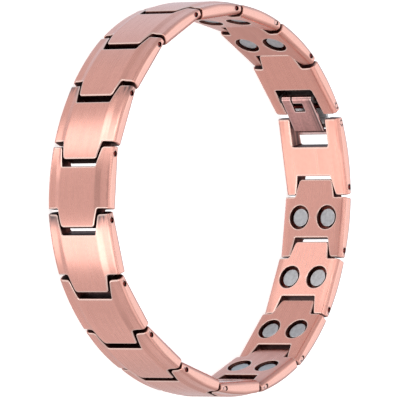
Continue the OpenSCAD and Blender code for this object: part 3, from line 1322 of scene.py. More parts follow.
    def outer_face(self, flat: np.ndarray) -> tuple[np.ndarray, np.ndarray]:
        """Height and slope of the outer face.

        The height is sqrt(R^2 - (u - pitch / 2)^2) less the distance of the arc's centre,
        where R is the bow's radius less the falls of the bends.

        Args:
            flat: points of u and v.

        Returns:
            Heights and slopes in u and v.
        """
        fall, steep = self.fallen(self.bends, flat)
        radius, u = self.bow_r - fall, flat[:, 0] - self.pitch / 2
        root = np.sqrt(radius**2 - u**2)
        across = -steep * np.sign(flat[:, 1]) * radius / root
        return root - (self.bow_r - self.crest), np.column_stack([-u / root, across])

    def inner_face(self, flat: np.ndarray) -> tuple[np.ndarray, np.ndarray]:
        """Height and slope of the inner face, flat between two soft shoulders.

        Args:
            flat: points of u and v.

        Returns:
            Heights and slopes in u and v.
        """
        rise, slope = self.fallen(self.inner_bends, flat)
        across = slope * np.sign(flat[:, 1])
        return rise - self.inner, np.column_stack([np.zeros(len(flat)), across])

    def recessed(self, flat: np.ndarray) -> np.ndarray:
        """Walls that face another link get dark patina and painted shade, the slot's less, the
        long edges none.

        Args:
            flat: points of u and v.

        Returns:
            The darkening at each point.
        """
        u, v = flat[:, 0], np.abs(flat[:, 1])
        wall = ramp(v, none=self.half_w - 0.12, full=self.half_w - 0.37)
        if self.finish is End.SLOT:
            start = self.pitch - self.slot.reach + 0.2
            slot = (u > start) & (np.abs(v - self.slot.half_w) < 0.3)
            wall = np.where(slot, self.SLOT_STAIN, wall)
        return wall

    def polished(self, flat: np.ndarray) -> np.ndarray:
        """The long edges are hardly polished, and the edges beside neighbours are."""
        away = ramp(np.abs(flat[:, 1]), none=self.half_w - 0.35, full=self.half_w - 0.5)
        return np.maximum(away, self.LEAST_POLISH)

    def soiled(self, flat: np.ndarray) -> np.ndarray:
        """The ears' ends are soiled, less and less along them, and so are the slot's walls.

        Args:
            flat: points of u and v.

        Returns:
            The soil at each point.
        """
        u, v = flat[:, 0], np.abs(flat[:, 1])
        soil = np.zeros(len(flat))
        if self.start is End.NOTCH:
            soil = self.soil * ramp(u, none=1.5, full=-1.1) * ramp(v, none=3.4, full=4.0)
        if self.finish is End.SLOT:
            start = self.pitch - self.slot.reach - 0.01
            slot = (u > start) & (v < self.slot.half_w + 0.01)
            soil = np.where(slot, self.SLOT_SOIL, soil)
        return soil

    def magnet_places(self) -> list[tuple[float, float]]:
        """Middles of the two magnet pockets, halfway from the notch to the shoulders."""
        middle = (self.notch.reach + self.pitch - self.shoulder.reach) / 2
        return [(middle, side.value * self.magnet_reach) for side in Side]

    def shell(self) -> Shell:
        """The link's patches in its own frame.

        Returns:
            The shell.
        """
        holes = [
            round_hole(place, self.pocket_r, self.POCKET_STEPS, self.pocket_rim)
            for place in (self.magnet_places() if self.pockets else [])
        ]
        before, after = self.GRID_OVER
        along = np.arange(-before, self.pitch + after, self.GRID_STEP)
        across = np.array(self.GRID_LINES + self.EDGE_LINES)
        return Plate(
            loops=[self.outline()],
            top=self.outer_face,
            bottom=self.inner_face,
            grid=(along, np.concatenate([-across[:0:-1], across])),
            recessed=self.recessed,
            soiled=self.soiled,
            pockets=holes,
            floor=-self.inner + self.pocket_depth,
            # The inner face gets an even painted shade, as strong as the link's own
            aged=lambda flat, side: np.full(len(flat), self.film if side < 0 else 0.0),
            polished=self.polished,
            rubbed=self.RUBBED,
        ).shell()

    def bores(self) -> Shell:
        """Drills at the ends of each pin that crosses the link's ears.

        Returns:
            The drills' patches in the link's frame.
        """
        shell = Shell()
        for u in (0.0, self.pitch) if self.finish is End.SLOT else (0.0,):
            for side in Side:
                self._drill(shell, u, side)
        return shell

    def _drill(self, shell: Shell, u: float, side: Side) -> None:
        """Adds one drill.

        A drill is a cylinder run along v, from inside the ear to past the side face, that
        widens in a cone where it breaks out of the face.

        Args:
            shell: gathers its patches.
            u: place of its axis along the link.
            side: the side face through which it breaks.
        """
        count = self.BORE_STEPS
        angle = np.arange(count) * (2 * math.pi / count)
        ring = np.column_stack([np.cos(angle), np.zeros(count), np.sin(angle)])
        wide = self.bore_r + self.bore_cone
        # Each ring's v, its radius and whether it belongs to the cone
        rings = [
            (self.half_w - self.bore_depth, self.bore_r, 0.0),
            (self.half_w - self.bore_cone, self.bore_r, 0.0),
            (self.half_w - self.bore_cone, self.bore_r, 1.0),
            (self.half_w + self.CONE_OVER, wide, 1.0),
            (self.half_w + self.BORE_OVER, wide, 0.0),
        ]
        points = np.concatenate([ring * r + [u, side.value * v, 0.0] for v, r, _ in rings])
        facing = np.concatenate([-ring + [0.0, side.value * cone, 0.0] for *_, cone in rings])
        # The bores' walls and ends get patina and painted shade
        marks = np.repeat([[cone, self.BORE_STAIN, 0.0] for *_, cone in rings], count, axis=0)
        faces = ring_faces(len(rings), count)
        shell.add(points, facing, marks, faces[:, ::-1] if side is Side.UPPER else faces)
        fan = fan_faces(count)
        across = [0.0, float(side.value), 0.0]
        for row in (0, len(rings) - 1):
            middle = [[u, side.value * rings[row][0], 0.0]]
            shell.add(
                np.vstack([points[row * count : (row + 1) * count], middle]),
                np.tile(across, (count + 1, 1)),
                np.tile([0.0, self.END_STAIN, 0.0], (count + 1, 1)),
                fan[:, ::-1] if (row == 0) != (side is Side.UPPER) else fan,
            )

    def build(self, shop: Workshop, row: Row, finish: bpy.types.Material) -> None:
        """Builds, places and hands in the link.

        Args:
            shop: where pieces are made.
            row: the hinges.
            finish: its material.
        """
        piece = shop.piece(
            "brushed_" + self.node,
            self.shell(),
            row.place(self.index),
            self.bores(),
            offset=self.index * self.GRAIN_STEP,
        )
        shop.hand_in(piece, self.node, finish)


def turned_profile(
    shell: Shell, profile: np.ndarray, marks: np.ndarray, centre: np.ndarray
) -> None:
    """Carries a profile round an upright axis.

    A point of the profile at radius r and height h goes to r * cos a, r * sin a, h, and the
    normal is the profile's own, turned with it.

    Args:
        shell: gathers the patch.
        profile: rows of radius, height and the normal's two parts, from the top down; its
            first and last rows lie on the axis.
        marks: edge, recess and soil of each row.
        centre: the middle of the turned piece.
    """
    count = TURN_STEPS
    i = np.arange(count)
    angle = i * (2 * math.pi / count)
    way = np.column_stack([np.cos(angle), np.sin(angle)])
    rows = len(profile)
    points = np.concatenate(
        [np.column_stack([way * r, np.full(count, h)]) for r, h in profile[:, :2]]
    )
    normals = np.concatenate(
        [np.column_stack([way * a, np.full(count, b)]) for a, b in profile[:, 2:4]]
    )
    worn = np.repeat(marks, count, axis=0)
    quads = ring_faces(rows, count)
    shell.add(points + centre, normals, worn, quads[count:-count])
    after = (i + 1) % count
    top = np.stack([np.zeros(count, int), i + count, after + count], axis=1)
    last = (rows - 1) * count
    low = np.stack([np.full(count, last), after + last - count, i + last - count], axis=1)
    shell.add(points + centre, normals, worn, np.vstack([top, low]))


def lathe_profile(radius: float, half: float, rim: float, dome: float) -> np.ndarray:
    """Profile of a disc or pin with slightly domed ends and rounded rims.

    The end is half + dome * (1 - (r / radius)^2), and the rim is a quarter circle.

    Args:
        radius: its radius.
        half: half of its length.
        rim: radius of its rims.
        dome: rise of its ends' middles.

    Returns:
        Rows of radius, height and normal, from the top down.
    """
    flat = radius - rim
    share = np.linspace(0.0, 1.0, 7)
    height, slope = half - dome * share**2, 2 * dome * share / flat
    top = np.column_stack([share * flat, height, slope, np.ones(len(share))])
    angle = np.linspace(math.pi / 2, 0.0, 6)[1:]
    c, s = np.cos(angle), np.sin(angle)
    turn = np.column_stack([flat + rim * c, half - dome - rim + rim * s, c, s])
    upper = np.vstack([top, turn])
    return np.vstack([upper, upper[::-1] * [1.0, -1.0, 1.0, -1.0]])


@dataclass
class Magnets:
    """The pair of round magnets sunk in one link.

    Attributes:
        node: the CAD node that they stand for.
        link: the link.
        radius: radius of a magnet.
        thickness: its thickness.
        sunk: depth of its face under the link's inner face.
        rim: radius of its rims.
        dome: rise of its faces' middles.
    """

    node: str
    link: Link
    radius: float = 1.66
    thickness: float = 1.2
    sunk: float = 0.4
    rim: float = 0.12
    dome: float = 0.03

    # Darkening of a magnet's wall
    WALL_STAIN = 0.5
    # Shift of the grain from pair to pair
    GRAIN_STEP = 11.3

    def build(self, shop: Workshop, row: Row, finish: bpy.types.Material) -> None:
        """Builds, places and hands in the pair.

        Args:
            shop: where pieces are made.
            row: the hinges.
            finish: its material.
        """
        shell = Shell()
        half = self.thickness / 2
        profile = lathe_profile(self.radius, half, self.rim, self.dome)
        rim = ramp(profile[:, 0], none=self.radius - 0.14, full=self.radius - 0.04)
        wall = (np.abs(profile[:, 1]) < half - self.rim - 0.01) * self.WALL_STAIN
        marks = np.column_stack([rim * (wall == 0), wall, np.zeros(len(profile))])
        for u, v in self.link.magnet_places():
            height = -self.link.inner + self.sunk + half
            turned_profile(shell, profile, marks, np.array([u, v, height]))
        piece = shop.piece(
            "paired_" + self.node,
            shell,
            row.place(self.link.index),
            offset=self.link.index * self.GRAIN_STEP,
        )
        shop.hand_in(piece, self.node, finish)


@dataclass
class CrossPin:
    """A pin that crosses the band, with domed ends.

    Attributes:
        node: the CAD node that it stands for.
        reach: how far its domes rise past the CAD pin's ends, still inside the band.
        shine: how bright with wear its ends are.
        rim: radius of its rims.
        dome: rise of its ends' middles.
        slack: how much thinner it is than the CAD pin, to clear its bores.
    """

    node: str
    reach: float = 0.08
    shine: float = 0.0
    rim: float = 0.05
    dome: float = 0.03
    slack: float = 0.07

    def build(self, shop: Workshop, finish: bpy.types.Material) -> None:
        """Builds, places and hands in the pin, from its CAD node's own box.

        Args:
            shop: where pieces are made.
            finish: its material.
        """
        low, high = (np.array(corner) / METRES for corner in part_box(self.node))
        radius, half = (high[0] - low[0]) / 2 - self.slack, (high[2] - low[2]) / 2 + self.reach
        shell = Shell()
        profile = lathe_profile(radius, half, self.rim, self.dome)
        marks = np.zeros((len(profile), 3))
        marks[:, 0] = self.shine * (profile[:, 0] < radius - 0.001)
        turned_profile(shell, profile, marks, np.zeros(3))
        place = Place((low + high) / 2, np.eye(3))
        piece = shop.piece("domed_" + self.node, shell, place, offset=low[0])
        shop.hand_in(piece, self.node, finish)


@dataclass
class Blade:
    """The clasp's folding blade: one strip, rolled at its pin and stepped at its lip.

    Attributes:
        node: the CAD node that it stands for.
        half_w: half of its width.
        thickness: thickness of the sheet.
        roll_r: outer radius of the roll round its pin.
        length: from the pin to the riser at the lip.
        lip_drop: how far the lip lies below the strip.
        lip_l: length of the lip.
        wrap: angle of the roll in degrees.
        window: where the window starts and ends, from the pin.
        window_sides: the window's two sides across the strip.
        slit_w: width of the slit.
        rim: radius of its rims.
        step_r: radius of the riser's two arcs.
        corner_r: rounding of its corners at the pin.
        lip_corner_r: rounding of its corners at the lip.
        window_r: rounding of the window's corners.
        knuckle_r: radius of the arm's knuckle, on which it rests.
        play: gap between the knuckle and the sheet.
    """

    node: str = "clasp_blade"
    half_w: float = 3.4
    thickness: float = 0.45
    roll_r: float = 0.8
    length: float = 6.95
    lip_drop: float = 0.55
    lip_l: float = 0.84
    wrap: float = 292.0
    window: tuple[float, float] = (0.5, 2.3)
    window_sides: tuple[float, float] = (-1.05, 1.4)
    slit_w: float = 0.34
    rim: float = 0.11
    step_r: float = 0.262
    corner_r: float = 0.14
    lip_corner_r: float = 0.35
    window_r: float = 0.15
    knuckle_r: float = 0.85
    play: float = 0.1

    # Points along the lip, along each arc of the riser, along the strip and round the roll
    LIP_STEPS, ARC_STEPS, STRIP_STEPS, ROLL_STEPS = 6, 9, 39, 49
    # Painted shade on the walls in the window, the slit and at the lip, and on the others
    WALL_STAINS = (0.85, 0.15)
    # Darkening of the inner face, painted shade on the outer one at the lip, and darkening beyond
    # it and at the pin
    INNER_STAIN, LIP_STAIN, STRIP_STAIN, PIN_STAIN = 0.5, 0.9, 0.4, 0.2
    # Soil of the strip, and what it gains towards one side
    SOIL, MORE_SOIL = 0.15, 1.1
    # Most painted highlight of the lip, of the corner above it and of the roll
    LIP_WEAR, CORNER_WEAR, ROLL_WEAR = 0.9, 0.5, 0.45

    def path(self) -> tuple[np.ndarray, np.ndarray, np.ndarray]:
        """The strip's middle line, from the lip's end to the end of the roll.

        It runs straight, turns up and level again in two arcs, runs straight to above the
        pin, and turns round it.

        Returns:
            Distances along the line, its points and its direction angles.
        """
        half, r = self.thickness / 2, self.step_r
        level, riser = self.roll_r - half, -self.length + half
        low = level - self.lip_drop
        lip = np.linspace(-self.length - self.lip_l, riser - r, self.LIP_STEPS)
        a = np.linspace(0.0, math.pi / 2, self.ARC_STEPS)
        run = np.linspace(riser + r, 0.0, self.STRIP_STEPS + 1)[1:]
        roll = np.linspace(0.0, math.radians(self.wrap), self.ROLL_STEPS + 1)[1:]
        stretches = [
            (lip, np.full(len(lip), low), np.zeros(len(lip))),
            (riser - r + r * np.sin(a), low + r - r * np.cos(a), a),
            (riser + r - r * np.cos(a), level - r + r * np.sin(a), math.pi / 2 - a),
            (run, np.full(len(run), level), np.zeros(len(run))),
            (level * np.sin(roll), level * np.cos(roll), -roll),
        ]
        x, y, angle = (np.concatenate(parts) for parts in zip(*stretches))
        line = np.column_stack([x, y])
        step = np.linalg.norm(np.diff(line, axis=0), axis=1)
        keep = np.concatenate([[True], step > TINY])
        line, angle = line[keep], angle[keep]
        step = np.linalg.norm(np.diff(line, axis=0), axis=1)
        return np.concatenate([[0.0], np.cumsum(step)]), line, angle

    def aged(self, flat: np.ndarray, side: float) -> np.ndarray:
        """The outer face darkens towards the lip, and most, as painted shade, at its end and in
        its crease.

        Args:
            flat: points of the flat strip.
            side: 1 for the outer face, -1 for the inner one.

        Returns:
            The darkening at each point.
        """
        if side < 0:
            return np.full(len(flat), self.INNER_STAIN)
        s, strip = flat[:, 0], self.lip_l + 0.3
        crease = np.abs(s - self.lip_l - 0.04)
        # Painted shade at the lip's end and in its crease
        dark = ramp(s, none=0.13, full=0.03) + ramp(crease, none=0.32, full=0.24)
        fall = (self.STRIP_STAIN - self.PIN_STAIN) * ramp(s, strip, strip + self.length)
        far = np.where(s > strip, self.STRIP_STAIN - fall, 0.0)
        return np.maximum(self.LIP_STAIN * dark, far)

    def worn(self, flat: np.ndarray) -> np.ndarray:
        """The lip, the corner above it and the roll get a painted highlight.

        Args:
            flat: points of the flat strip.

        Returns:
            The painted highlight at each point.
        """
        s, rolled = flat[:, 0], self.lip_l + self.length + 0.3
        corner = np.abs(s - self.lip_l - 0.6)
        corner = self.CORNER_WEAR * ramp(corner, none=0.195, full=0.045)
        lip = ramp(s, none=self.lip_l - 0.25, full=self.lip_l - 0.35)
        roll = np.minimum(ramp(s, none=rolled, full=rolled + 1.0), self.ROLL_WEAR)
        # Painted highlight on the lip, the corner above it and the roll
        return np.maximum(np.minimum(lip, self.LIP_WEAR), corner) + roll

    def recessed(self, flat: np.ndarray) -> np.ndarray:
        """The walls of the window, the slit and the lip get painted shade, and the others hardly.
        """
        dark = (np.abs(flat[:, 1]) < 1.3) | (flat[:, 0] < 0.1)
        return np.where(dark, *self.WALL_STAINS)

    def soiled(self, flat: np.ndarray) -> np.ndarray:
        """The strip is a little soiled, more and more towards one side."""
        return self.SOIL + self.MORE_SOIL * ramp(flat[:, 1], none=-0.28, full=-3.08)

    def level(self, side: float) -> Heights:
        """The height field of the flat strip's upper or lower face."""
        height = side * self.thickness / 2
        return lambda flat: (np.full(len(flat), height), np.zeros((len(flat), 2)))

    def outline(self, near: float, far: float, total: float) -> Loop:
        """The flat strip's edge, round the slit and the window.

        Args:
            near: where the window ends at the pin's side.
            far: where it ends at the lip's side.
            total: length of the strip.

        Returns:
            The loop.
        """
        (right, left), w = self.window_sides, self.half_w
        tip, end, corner = self.lip_corner_r, self.corner_r, self.window_r
        corners = [
            (0.0, -w, tip),
            (total, -w, end),
            (total, left - self.slit_w, end),
            (near, left - self.slit_w, end),
            (near, right, corner),
            (far, right, corner),
            (far, left, corner),
            (total, left, end),
            (total, w, end),
            (0.0, w, tip),
        ]
        return rounded_loop(np.array(corners), spacing=0.07, rim=self.rim)

    def shell(self) -> Shell:
        """The blade's patches in the frame of its pin.

        Returns:
            The shell.
        """
        along, line, angle = self.path()
        total = along[-1]
        straight = len(line) - self.ROLL_STEPS
        zero = float(np.interp(0.0, line[:straight, 0], along[:straight]))
        near, far = zero - self.window[0], zero - self.window[1]
        # The grid's lines are close at the lip and round the roll, and wide between them
        lines = np.concatenate(
            [np.arange(0.2, 1.8, 0.06), np.arange(1.9, zero, 0.3), np.arange(zero, total, 0.07)]
        )
        flat = Plate(
            loops=[self.outline(near, far, total)],
            top=self.level(1.0),
            bottom=self.level(-1.0),
            grid=(lines, np.linspace(-3.0, 3.0, 41)),
            recessed=self.recessed,
            soiled=self.soiled,
            worn=self.worn,
            aged=self.aged,
            halo_w=0.14,
        ).shell()

        def onto_path(points: np.ndarray, normals: np.ndarray) -> tuple:
            """Bends the flat strip: s goes along the line and h along its left normal.

            Args:
                points: the flat strip's points.
                normals: their normals.

            Returns:
                Both, bent.
            """
            s = np.clip(points[:, 0], 0.0, total)
            x, y = np.interp(s, along, line[:, 0]), np.interp(s, along, line[:, 1])
            a = np.interp(s, along, angle)
            c, t = np.cos(a), np.sin(a)
            h = points[:, 2]
            there = np.column_stack([x - t * h, y + c * h, -points[:, 1]])
            facing = np.column_stack(
                [
                    normals[:, 0] * c - normals[:, 2] * t,
                    normals[:, 0] * t + normals[:, 2] * c,
                    -normals[:, 1],
                ]
            )
            return there, facing

        return flat.carried(onto_path)

    def build(self, shop: Workshop, finish: bpy.types.Material) -> None:
        """Builds, places and hands in the blade.

        The line from its pin to the arm's pin, turned by the angle that lays the sheet
        against the arm's knuckle, gives the blade's direction.

        Args:
            shop: where pieces are made.
            finish: its material.
        """
        pin, target = centre_of("blade_pin"), centre_of("arm_pin")
        way = target - pin
        reach = float(np.linalg.norm(way[:2]))
        depth = self.knuckle_r + self.play - (self.roll_r - self.thickness)
        turn = math.atan2(way[1], way[0]) - math.pi - math.asin(depth / reach)
        c, s = math.cos(turn), math.sin(turn)
        place = Place(pin, np.array([[c, s, 0.0], [-s, c, 0.0], [0.0, 0.0, 1.0]]))
        piece = shop.piece("rolled_blade", self.shell(), place)
        shop.hand_in(piece, self.node, finish)


@dataclass
class Arm:
    """The clasp's steel arm, with softened edges.

    Its outer side is plain metal but for a little soil and the knuckles round the blade's pin,
    which get painted shade. Its inner side is plain metal between a distance from the blade's pin
    and one from its own, and gets painted shade round the pins and in its middle, where the blade
    lies over it, up to the `bare` distances before the end.

    Attributes:
        node: the CAD node that it stands for.
        edge: width of its softened edges.
        clean: the distances from the blade's pin and from its own where the unshaded part ends.
        fades: widths over which the painted shade grows beyond those.
        shaded: half width of the middle that gets painted shade.
        shaded_fade: width over which that fades.
        knuckle: distances from the blade's pin between which the outer side loses its painted
            shade.
        bare: distances before the unshaded part's end between which the middle loses its painted
            shade.
    """

    node: str = "clasp_arm"
    edge: float = 0.06
    clean: tuple[float, float] = (3.15, 0.6)
    fades: tuple[float, float] = (0.15, 0.25)
    shaded: float = 1.3
    shaded_fade: float = 0.3
    knuckle: tuple[float, float] = (0.9, 2.4)
    bare: tuple[float, float] = (1.6, 0.3)

    # Painted shade at the arm's own pin where its fade ends, from where it still grows
    PIN_STAIN = 0.8
    # Soil of the outer side
    SOIL = 0.5
    # Faces that turn by less than the first angle are merged, and edges that turn by more than
    # the second are softened
    SAME, SHARP = math.radians(1.0), math.radians(35.0)

    def build(self, shop: Workshop, finish: bpy.types.Material) -> None:
        """Merges a copy of the CAD arm, softens its edges, marks it and hands it in.

        It is divided where the painted shade fades, before its edges are softened, so that the
        marks on its points can follow.

        Args:
            shop: where pieces are made.
            finish: its material.
        """
        mesh = shop.frame["nodes"][self.node].data.copy()
        piece = new_object("softened_arm", mesh)
        weld = piece.modifiers.new("weld", "WELD")
        weld.merge_threshold = TINY
        flat = piece.modifiers.new("flat", "DECIMATE")
        flat.decimate_type, flat.angle_limit = "DISSOLVE", self.SAME
        settle(piece)
        pin, target = centre_of("blade_pin"), centre_of("arm_pin")
        reach = float(np.linalg.norm((target - pin)[:2]))
        way = (target - pin) / reach
        start, end = self.clean[0], reach - self.clean[1]
        self._divide(piece.data, pin, way, start, end)
        bevel = piece.modifiers.new("edges", "BEVEL")
        bevel.width, bevel.segments = self.edge * METRES, 3
        bevel.limit_method, bevel.angle_limit = "ANGLE", self.SHARP
        bevel.harden_normals = True
        settle(piece)
        piece.data.name = "softened_arm"
        points = read_vectors(piece.data.vertices, "co") / METRES
        add_layer(piece.data, "grain", "POINT", points)
        add_layer(piece.data, "marks", "POINT", self._marks(points - pin, pin, way, start, end))
        shop.hand_in(piece, self.node, finish)

    def _divide(
        self, mesh: bpy.types.Mesh, pin: np.ndarray, way: np.ndarray, start: float, end: float
    ) -> None:
        """Cuts the faces of a mesh along the planes where its marks bend.

        Args:
            mesh: the arm's mesh, in metres.
            pin: middle of the blade's pin in millimetres.
            way: direction from there to the arm's own pin.
            start: distance from the blade's pin where the unshaded part begins.
            end: distance where it ends.
        """
        stops = [*self.knuckle, start, start + self.fades[0], end, end + self.fades[1]]
        stops += [end - distance for distance in self.bare]
        cuts = [(way, distance) for distance in stops]
        sides = [self.shaded, self.shaded + self.shaded_fade]
        cuts += [(UPRIGHT, side.value * distance) for side in Side for distance in sides]
        work = bmesh.new()
        work.from_mesh(mesh)
        for facing, distance in cuts:
            bmesh.ops.bisect_plane(
                work,
                geom=work.verts[:] + work.edges[:] + work.faces[:],
                plane_co=(pin + facing * distance) * METRES,
                plane_no=facing,
            )
        work.to_mesh(mesh)
        work.free()

    def _marks(
        self, from_pin: np.ndarray, pin: np.ndarray, way: np.ndarray, start: float, end: float
    ) -> np.ndarray:
        """Edge, recess and soil of the arm's points.

        Args:
            from_pin: the points, from the middle of the blade's pin.
            pin: that middle.
            way: direction from there to the arm's own pin.
            start: distance from the blade's pin where the unshaded part begins.
            end: distance where it ends.

        Returns:
            The marks, n by 3.
        """
        along = from_pin @ way
        pins = np.maximum(
            (start + self.fades[0] - along) / self.fades[0],
            self.PIN_STAIN * (along - end) / self.fades[1],
        )
        edge = self.shaded + self.shaded_fade
        middle = ramp(np.abs(from_pin[:, 2]), none=edge, full=self.shaded)
        middle *= ramp(along, none=end - self.bare[1], full=end - self.bare[0])
        inward = np.cross(way, UPRIGHT)
        depth = from_pin @ (inward * -np.sign(inward @ pin))
        # The plate's two sides are found where its unshaded part begins
        plate = depth[np.abs(along - start) < 0.2]
        hidden = (depth - plate.min()) / (plate.max() - plate.min())
        first, last = self.knuckle
        hidden = np.clip(np.maximum(hidden, (last - along) / (last - first)), 0.0, 1.0)
        marks = np.zeros((len(along), 3))
        # Painted shade round both pins and in the middle under the blade, on the inner side and
        # the knuckles
        marks[:, 1] = np.clip(np.maximum(pins, middle), 0.0, 1.0) * hidden
        marks[:, 2] = self.SOIL * (1.0 - hidden)
        return marks


# Studio


@dataclass(frozen=True)
class Panel:
    """A tall soft panel of the surround.

    Attributes:
        azimuth: direction of its middle in degrees.
        inner: half width of its even part.
        outer: half width at which it has faded out.
        strength: its light below, at the horizon and above.
        tint: its colour.
    """

    azimuth: float
    inner: float
    outer: float
    strength: tuple[float, float, float]
    tint: tuple[float, float, float] = (1.0, 1.0, 1.0)


@dataclass
class Studio:
    """The camera, the floor and the lights.

    Attributes:
        base: light of the surround below, at the horizon and above.
        base_tint: its colour.
        panels: the panels on it.
        right: the camera's right direction.
        up: its up direction.
        toward: its back direction, from the band to the camera.
        middle: the point that it looks at, in millimetres.
        shift: how far it's moved to its right and up, in millimetres.
        distance: how far it stands back, in millimetres.
        focal: its focal length, in pixels of the photograph.
        photo_w: the photograph's width in pixels.
        sensor_w: width of its sensor in millimetres.
        floor_reach: half of the floor's width in metres.
        floor_steps: points along each side of the floor.
        lamp_place: middle of the overhead lamp in metres.
        lamp_size: its width in metres.
        lamp_power: its power in watts.
    """

    base: tuple[float, float, float] = (0.63, 0.46, 0.5)
    base_tint: tuple[float, float, float] = (1.02, 1.03, 1.05)
    panels: tuple[Panel, ...] = (
        Panel(116.5, 3.0, 13.0, (0.85, 1.7, 0.9), (1.0, 1.05, 1.03)),
        Panel(82.0, 4.0, 16.0, (0.08, 0.1, 0.35)),
        Panel(180.0, 8.0, 17.0, (0.85, 1.8, 0.8), (1.0, 1.05, 1.03)),
        Panel(212.0, 5.0, 15.0, (0.06, 0.1, 0.0)),
        Panel(146.0, 10.0, 40.0, (0.08, 0.0, 0.2), (1.1, 1.0, 0.96)),
        Panel(232.0, 14.0, 30.0, (0.0, 0.0, 0.6)),
        Panel(250.0, 2.0, 22.0, (0.1, 0.1, 0.0)),
        Panel(5.0, 20.0, 70.0, (0.2, 0.2, 0.0), (0.4, 1.05, 1.5)),
        Panel(334.0, 20.0, 60.0, (0.0, 0.0, 0.6)),
    )
    right: tuple[float, float, float] = (0.55843, -0.28171, 0.78026)
    up: tuple[float, float, float] = (0.44272, 0.89663, 0.00687)
    toward: tuple[float, float, float] = (-0.70154, 0.3416, 0.62542)
    middle: tuple[float, float, float] = (-0.0126657, 0.350647, 7.1)
    shift: tuple[float, float] = (-0.614, -0.258)
    distance: float = 1468.0
    focal: float = 8122.0
    photo_w: float = 400.0
    sensor_w: float = 36.0
    floor_reach: float = 20.0
    floor_steps: int = 9
    lamp_place: tuple[float, float, float] = (0.5, 0.1, 1.2)
    lamp_size: float = 0.9
    lamp_power: float = 0.4

    # Heights of a direction between which the light changes, below and above the horizon
    BELOW, ABOVE = (-0.6, -0.12), (0.1, 0.75)

    def camera(self) -> None:
        """Sets up the camera at the photograph's viewing angle.

        It stands at the middle, moved by the shift along its own right and up directions
        and by the distance along its back direction.
        """
        right, up, toward = (Vector(v) for v in (self.right, self.up, self.toward))
        place = Vector(self.middle) + right * self.shift[0] + up * self.shift[1]
        place = (place + toward * self.distance) * METRES
        data = bpy.data.cameras.new("camera")
        data.lens = self.focal / self.photo_w * self.sensor_w
        data.sensor_width = self.sensor_w
        data.clip_start, data.clip_end = 0.1, 100.0
        camera = new_object("camera", data)
        turn = Matrix((right, up, toward)).transposed().to_4x4()
        camera.matrix_world = Matrix.Translation(place) @ turn
        bpy.context.scene.camera = camera

    def floor(self) -> None:
        """Lays a wide pale floor under the band, unseen in the metal's reflections."""
        low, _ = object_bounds()
        steps = self.floor_steps
        line = np.linspace(-self.floor_reach, self.floor_reach, steps)
        x, y = np.meshgrid(line, line, indexing="ij")
        points = np.column_stack([x.ravel(), y.ravel(), np.full(steps**2, low.z)])
        i, j = np.meshgrid(np.arange(steps - 1), np.arange(steps - 1), indexing="ij")
        a = (i * steps + j).ravel()
        faces = np.stack([a, a + steps, a + steps + 1, a + 1], axis=1)
        mesh = bpy.data.meshes.new("paper_floor")
        mesh.from_pydata(points.tolist(), [], faces.tolist())
        mesh.materials.append(PaperFloor().material())
        floor = new_object("paper_floor", mesh)
        floor.visible_glossy = False
        floor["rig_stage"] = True

    def surround(self) -> None:
        """Lights the set with a soft surround and its panels.

        Seen from the band, the surround is a base that is a little darker at the horizon,
        plus panels. Each panel is a smooth step of the angle round the vertical, times a
        strength that runs from its low value below to its level one at the horizon and its
        high one above.
        """
        world = bpy.data.worlds.new("soft_surround")
        bpy.context.scene.world = world
        world.use_nodes = True
        board = Board(world.node_tree)
        way = board.add("ShaderNodeTexCoord").outputs["Generated"]
        x, y, z = board.add("ShaderNodeSeparateXYZ", {0: way}).outputs
        flat = board.math("SUBTRACT", 1.0, board.math("MULTIPLY", z, z))
        flat = board.math("SQRT", board.math("MAXIMUM", flat, 1e-4))
        light = self.tinted(board, self.tall(board, z, self.base), self.base_tint)
        for panel in self.panels:
            a = math.radians(panel.azimuth)
            near = board.math("MULTIPLY", y, math.sin(a))
            near = board.math("DIVIDE", board.math("MULTIPLY_ADD", x, math.cos(a), near), flat)
            outer, inner = (math.cos(math.radians(d)) for d in (panel.outer, panel.inner))
            lobe = board.spread(near, outer, inner)
            lobe = board.math("MULTIPLY", lobe, self.tall(board, z, panel.strength))
            feeds = {0: light, 1: self.tinted(board, lobe, panel.tint)}
            light = board.add("ShaderNodeVectorMath", feeds, operation="ADD").outputs[0]
        seen = board.add("ShaderNodeLightPath").outputs["Is Camera Ray"]
        shown = board.blend(seen, light, (1.0, 1.0, 1.0))
        back = board.add("ShaderNodeBackground", {0: shown})
        board.add("ShaderNodeOutputWorld", {0: back.outputs[0]})

    def tall(
        self, board: Board, z: object, strength: tuple[float, float, float]
    ) -> bpy.types.NodeSocket:
        """A strength that changes with height: below, at the horizon and above.

        Args:
            board: the surround's board.
            z: upward part of the direction.
            strength: the three strengths.

        Returns:
            The strength in that direction.
        """
        low, level, high = strength
        lower = board.spread(z, *self.BELOW, (low, level))
        upper = board.spread(z, *self.ABOVE, (0.0, high - level))
        return board.math("ADD", lower, upper)

    @staticmethod
    def tinted(
        board: Board, strength: object, tint: tuple[float, float, float]
    ) -> bpy.types.NodeSocket:
        """A strength as light of a tint."""
        feeds = {0: tint, "Scale": strength}
        return board.add("ShaderNodeVectorMath", feeds, operation="SCALE").outputs[0]

    def lamp(self) -> None:
        """Hangs one large soft lamp overhead."""
        data = bpy.data.lights.new("overhead_panel", "AREA")
        data.shape, data.size, data.energy = "DISK", self.lamp_size, self.lamp_power
        lamp = new_object("overhead_panel", data)
        lamp.location = self.lamp_place
        lamp.rotation_euler = Vector(lamp.location).to_track_quat("Z", "Y").to_euler()
        lamp.visible_camera = False

    def build(self) -> None:
        """Builds the camera, the floor and the lights."""
        self.camera()
        self.floor()
        self.surround()
        self.lamp()
        bpy.context.scene.view_settings.view_transform = "Standard"


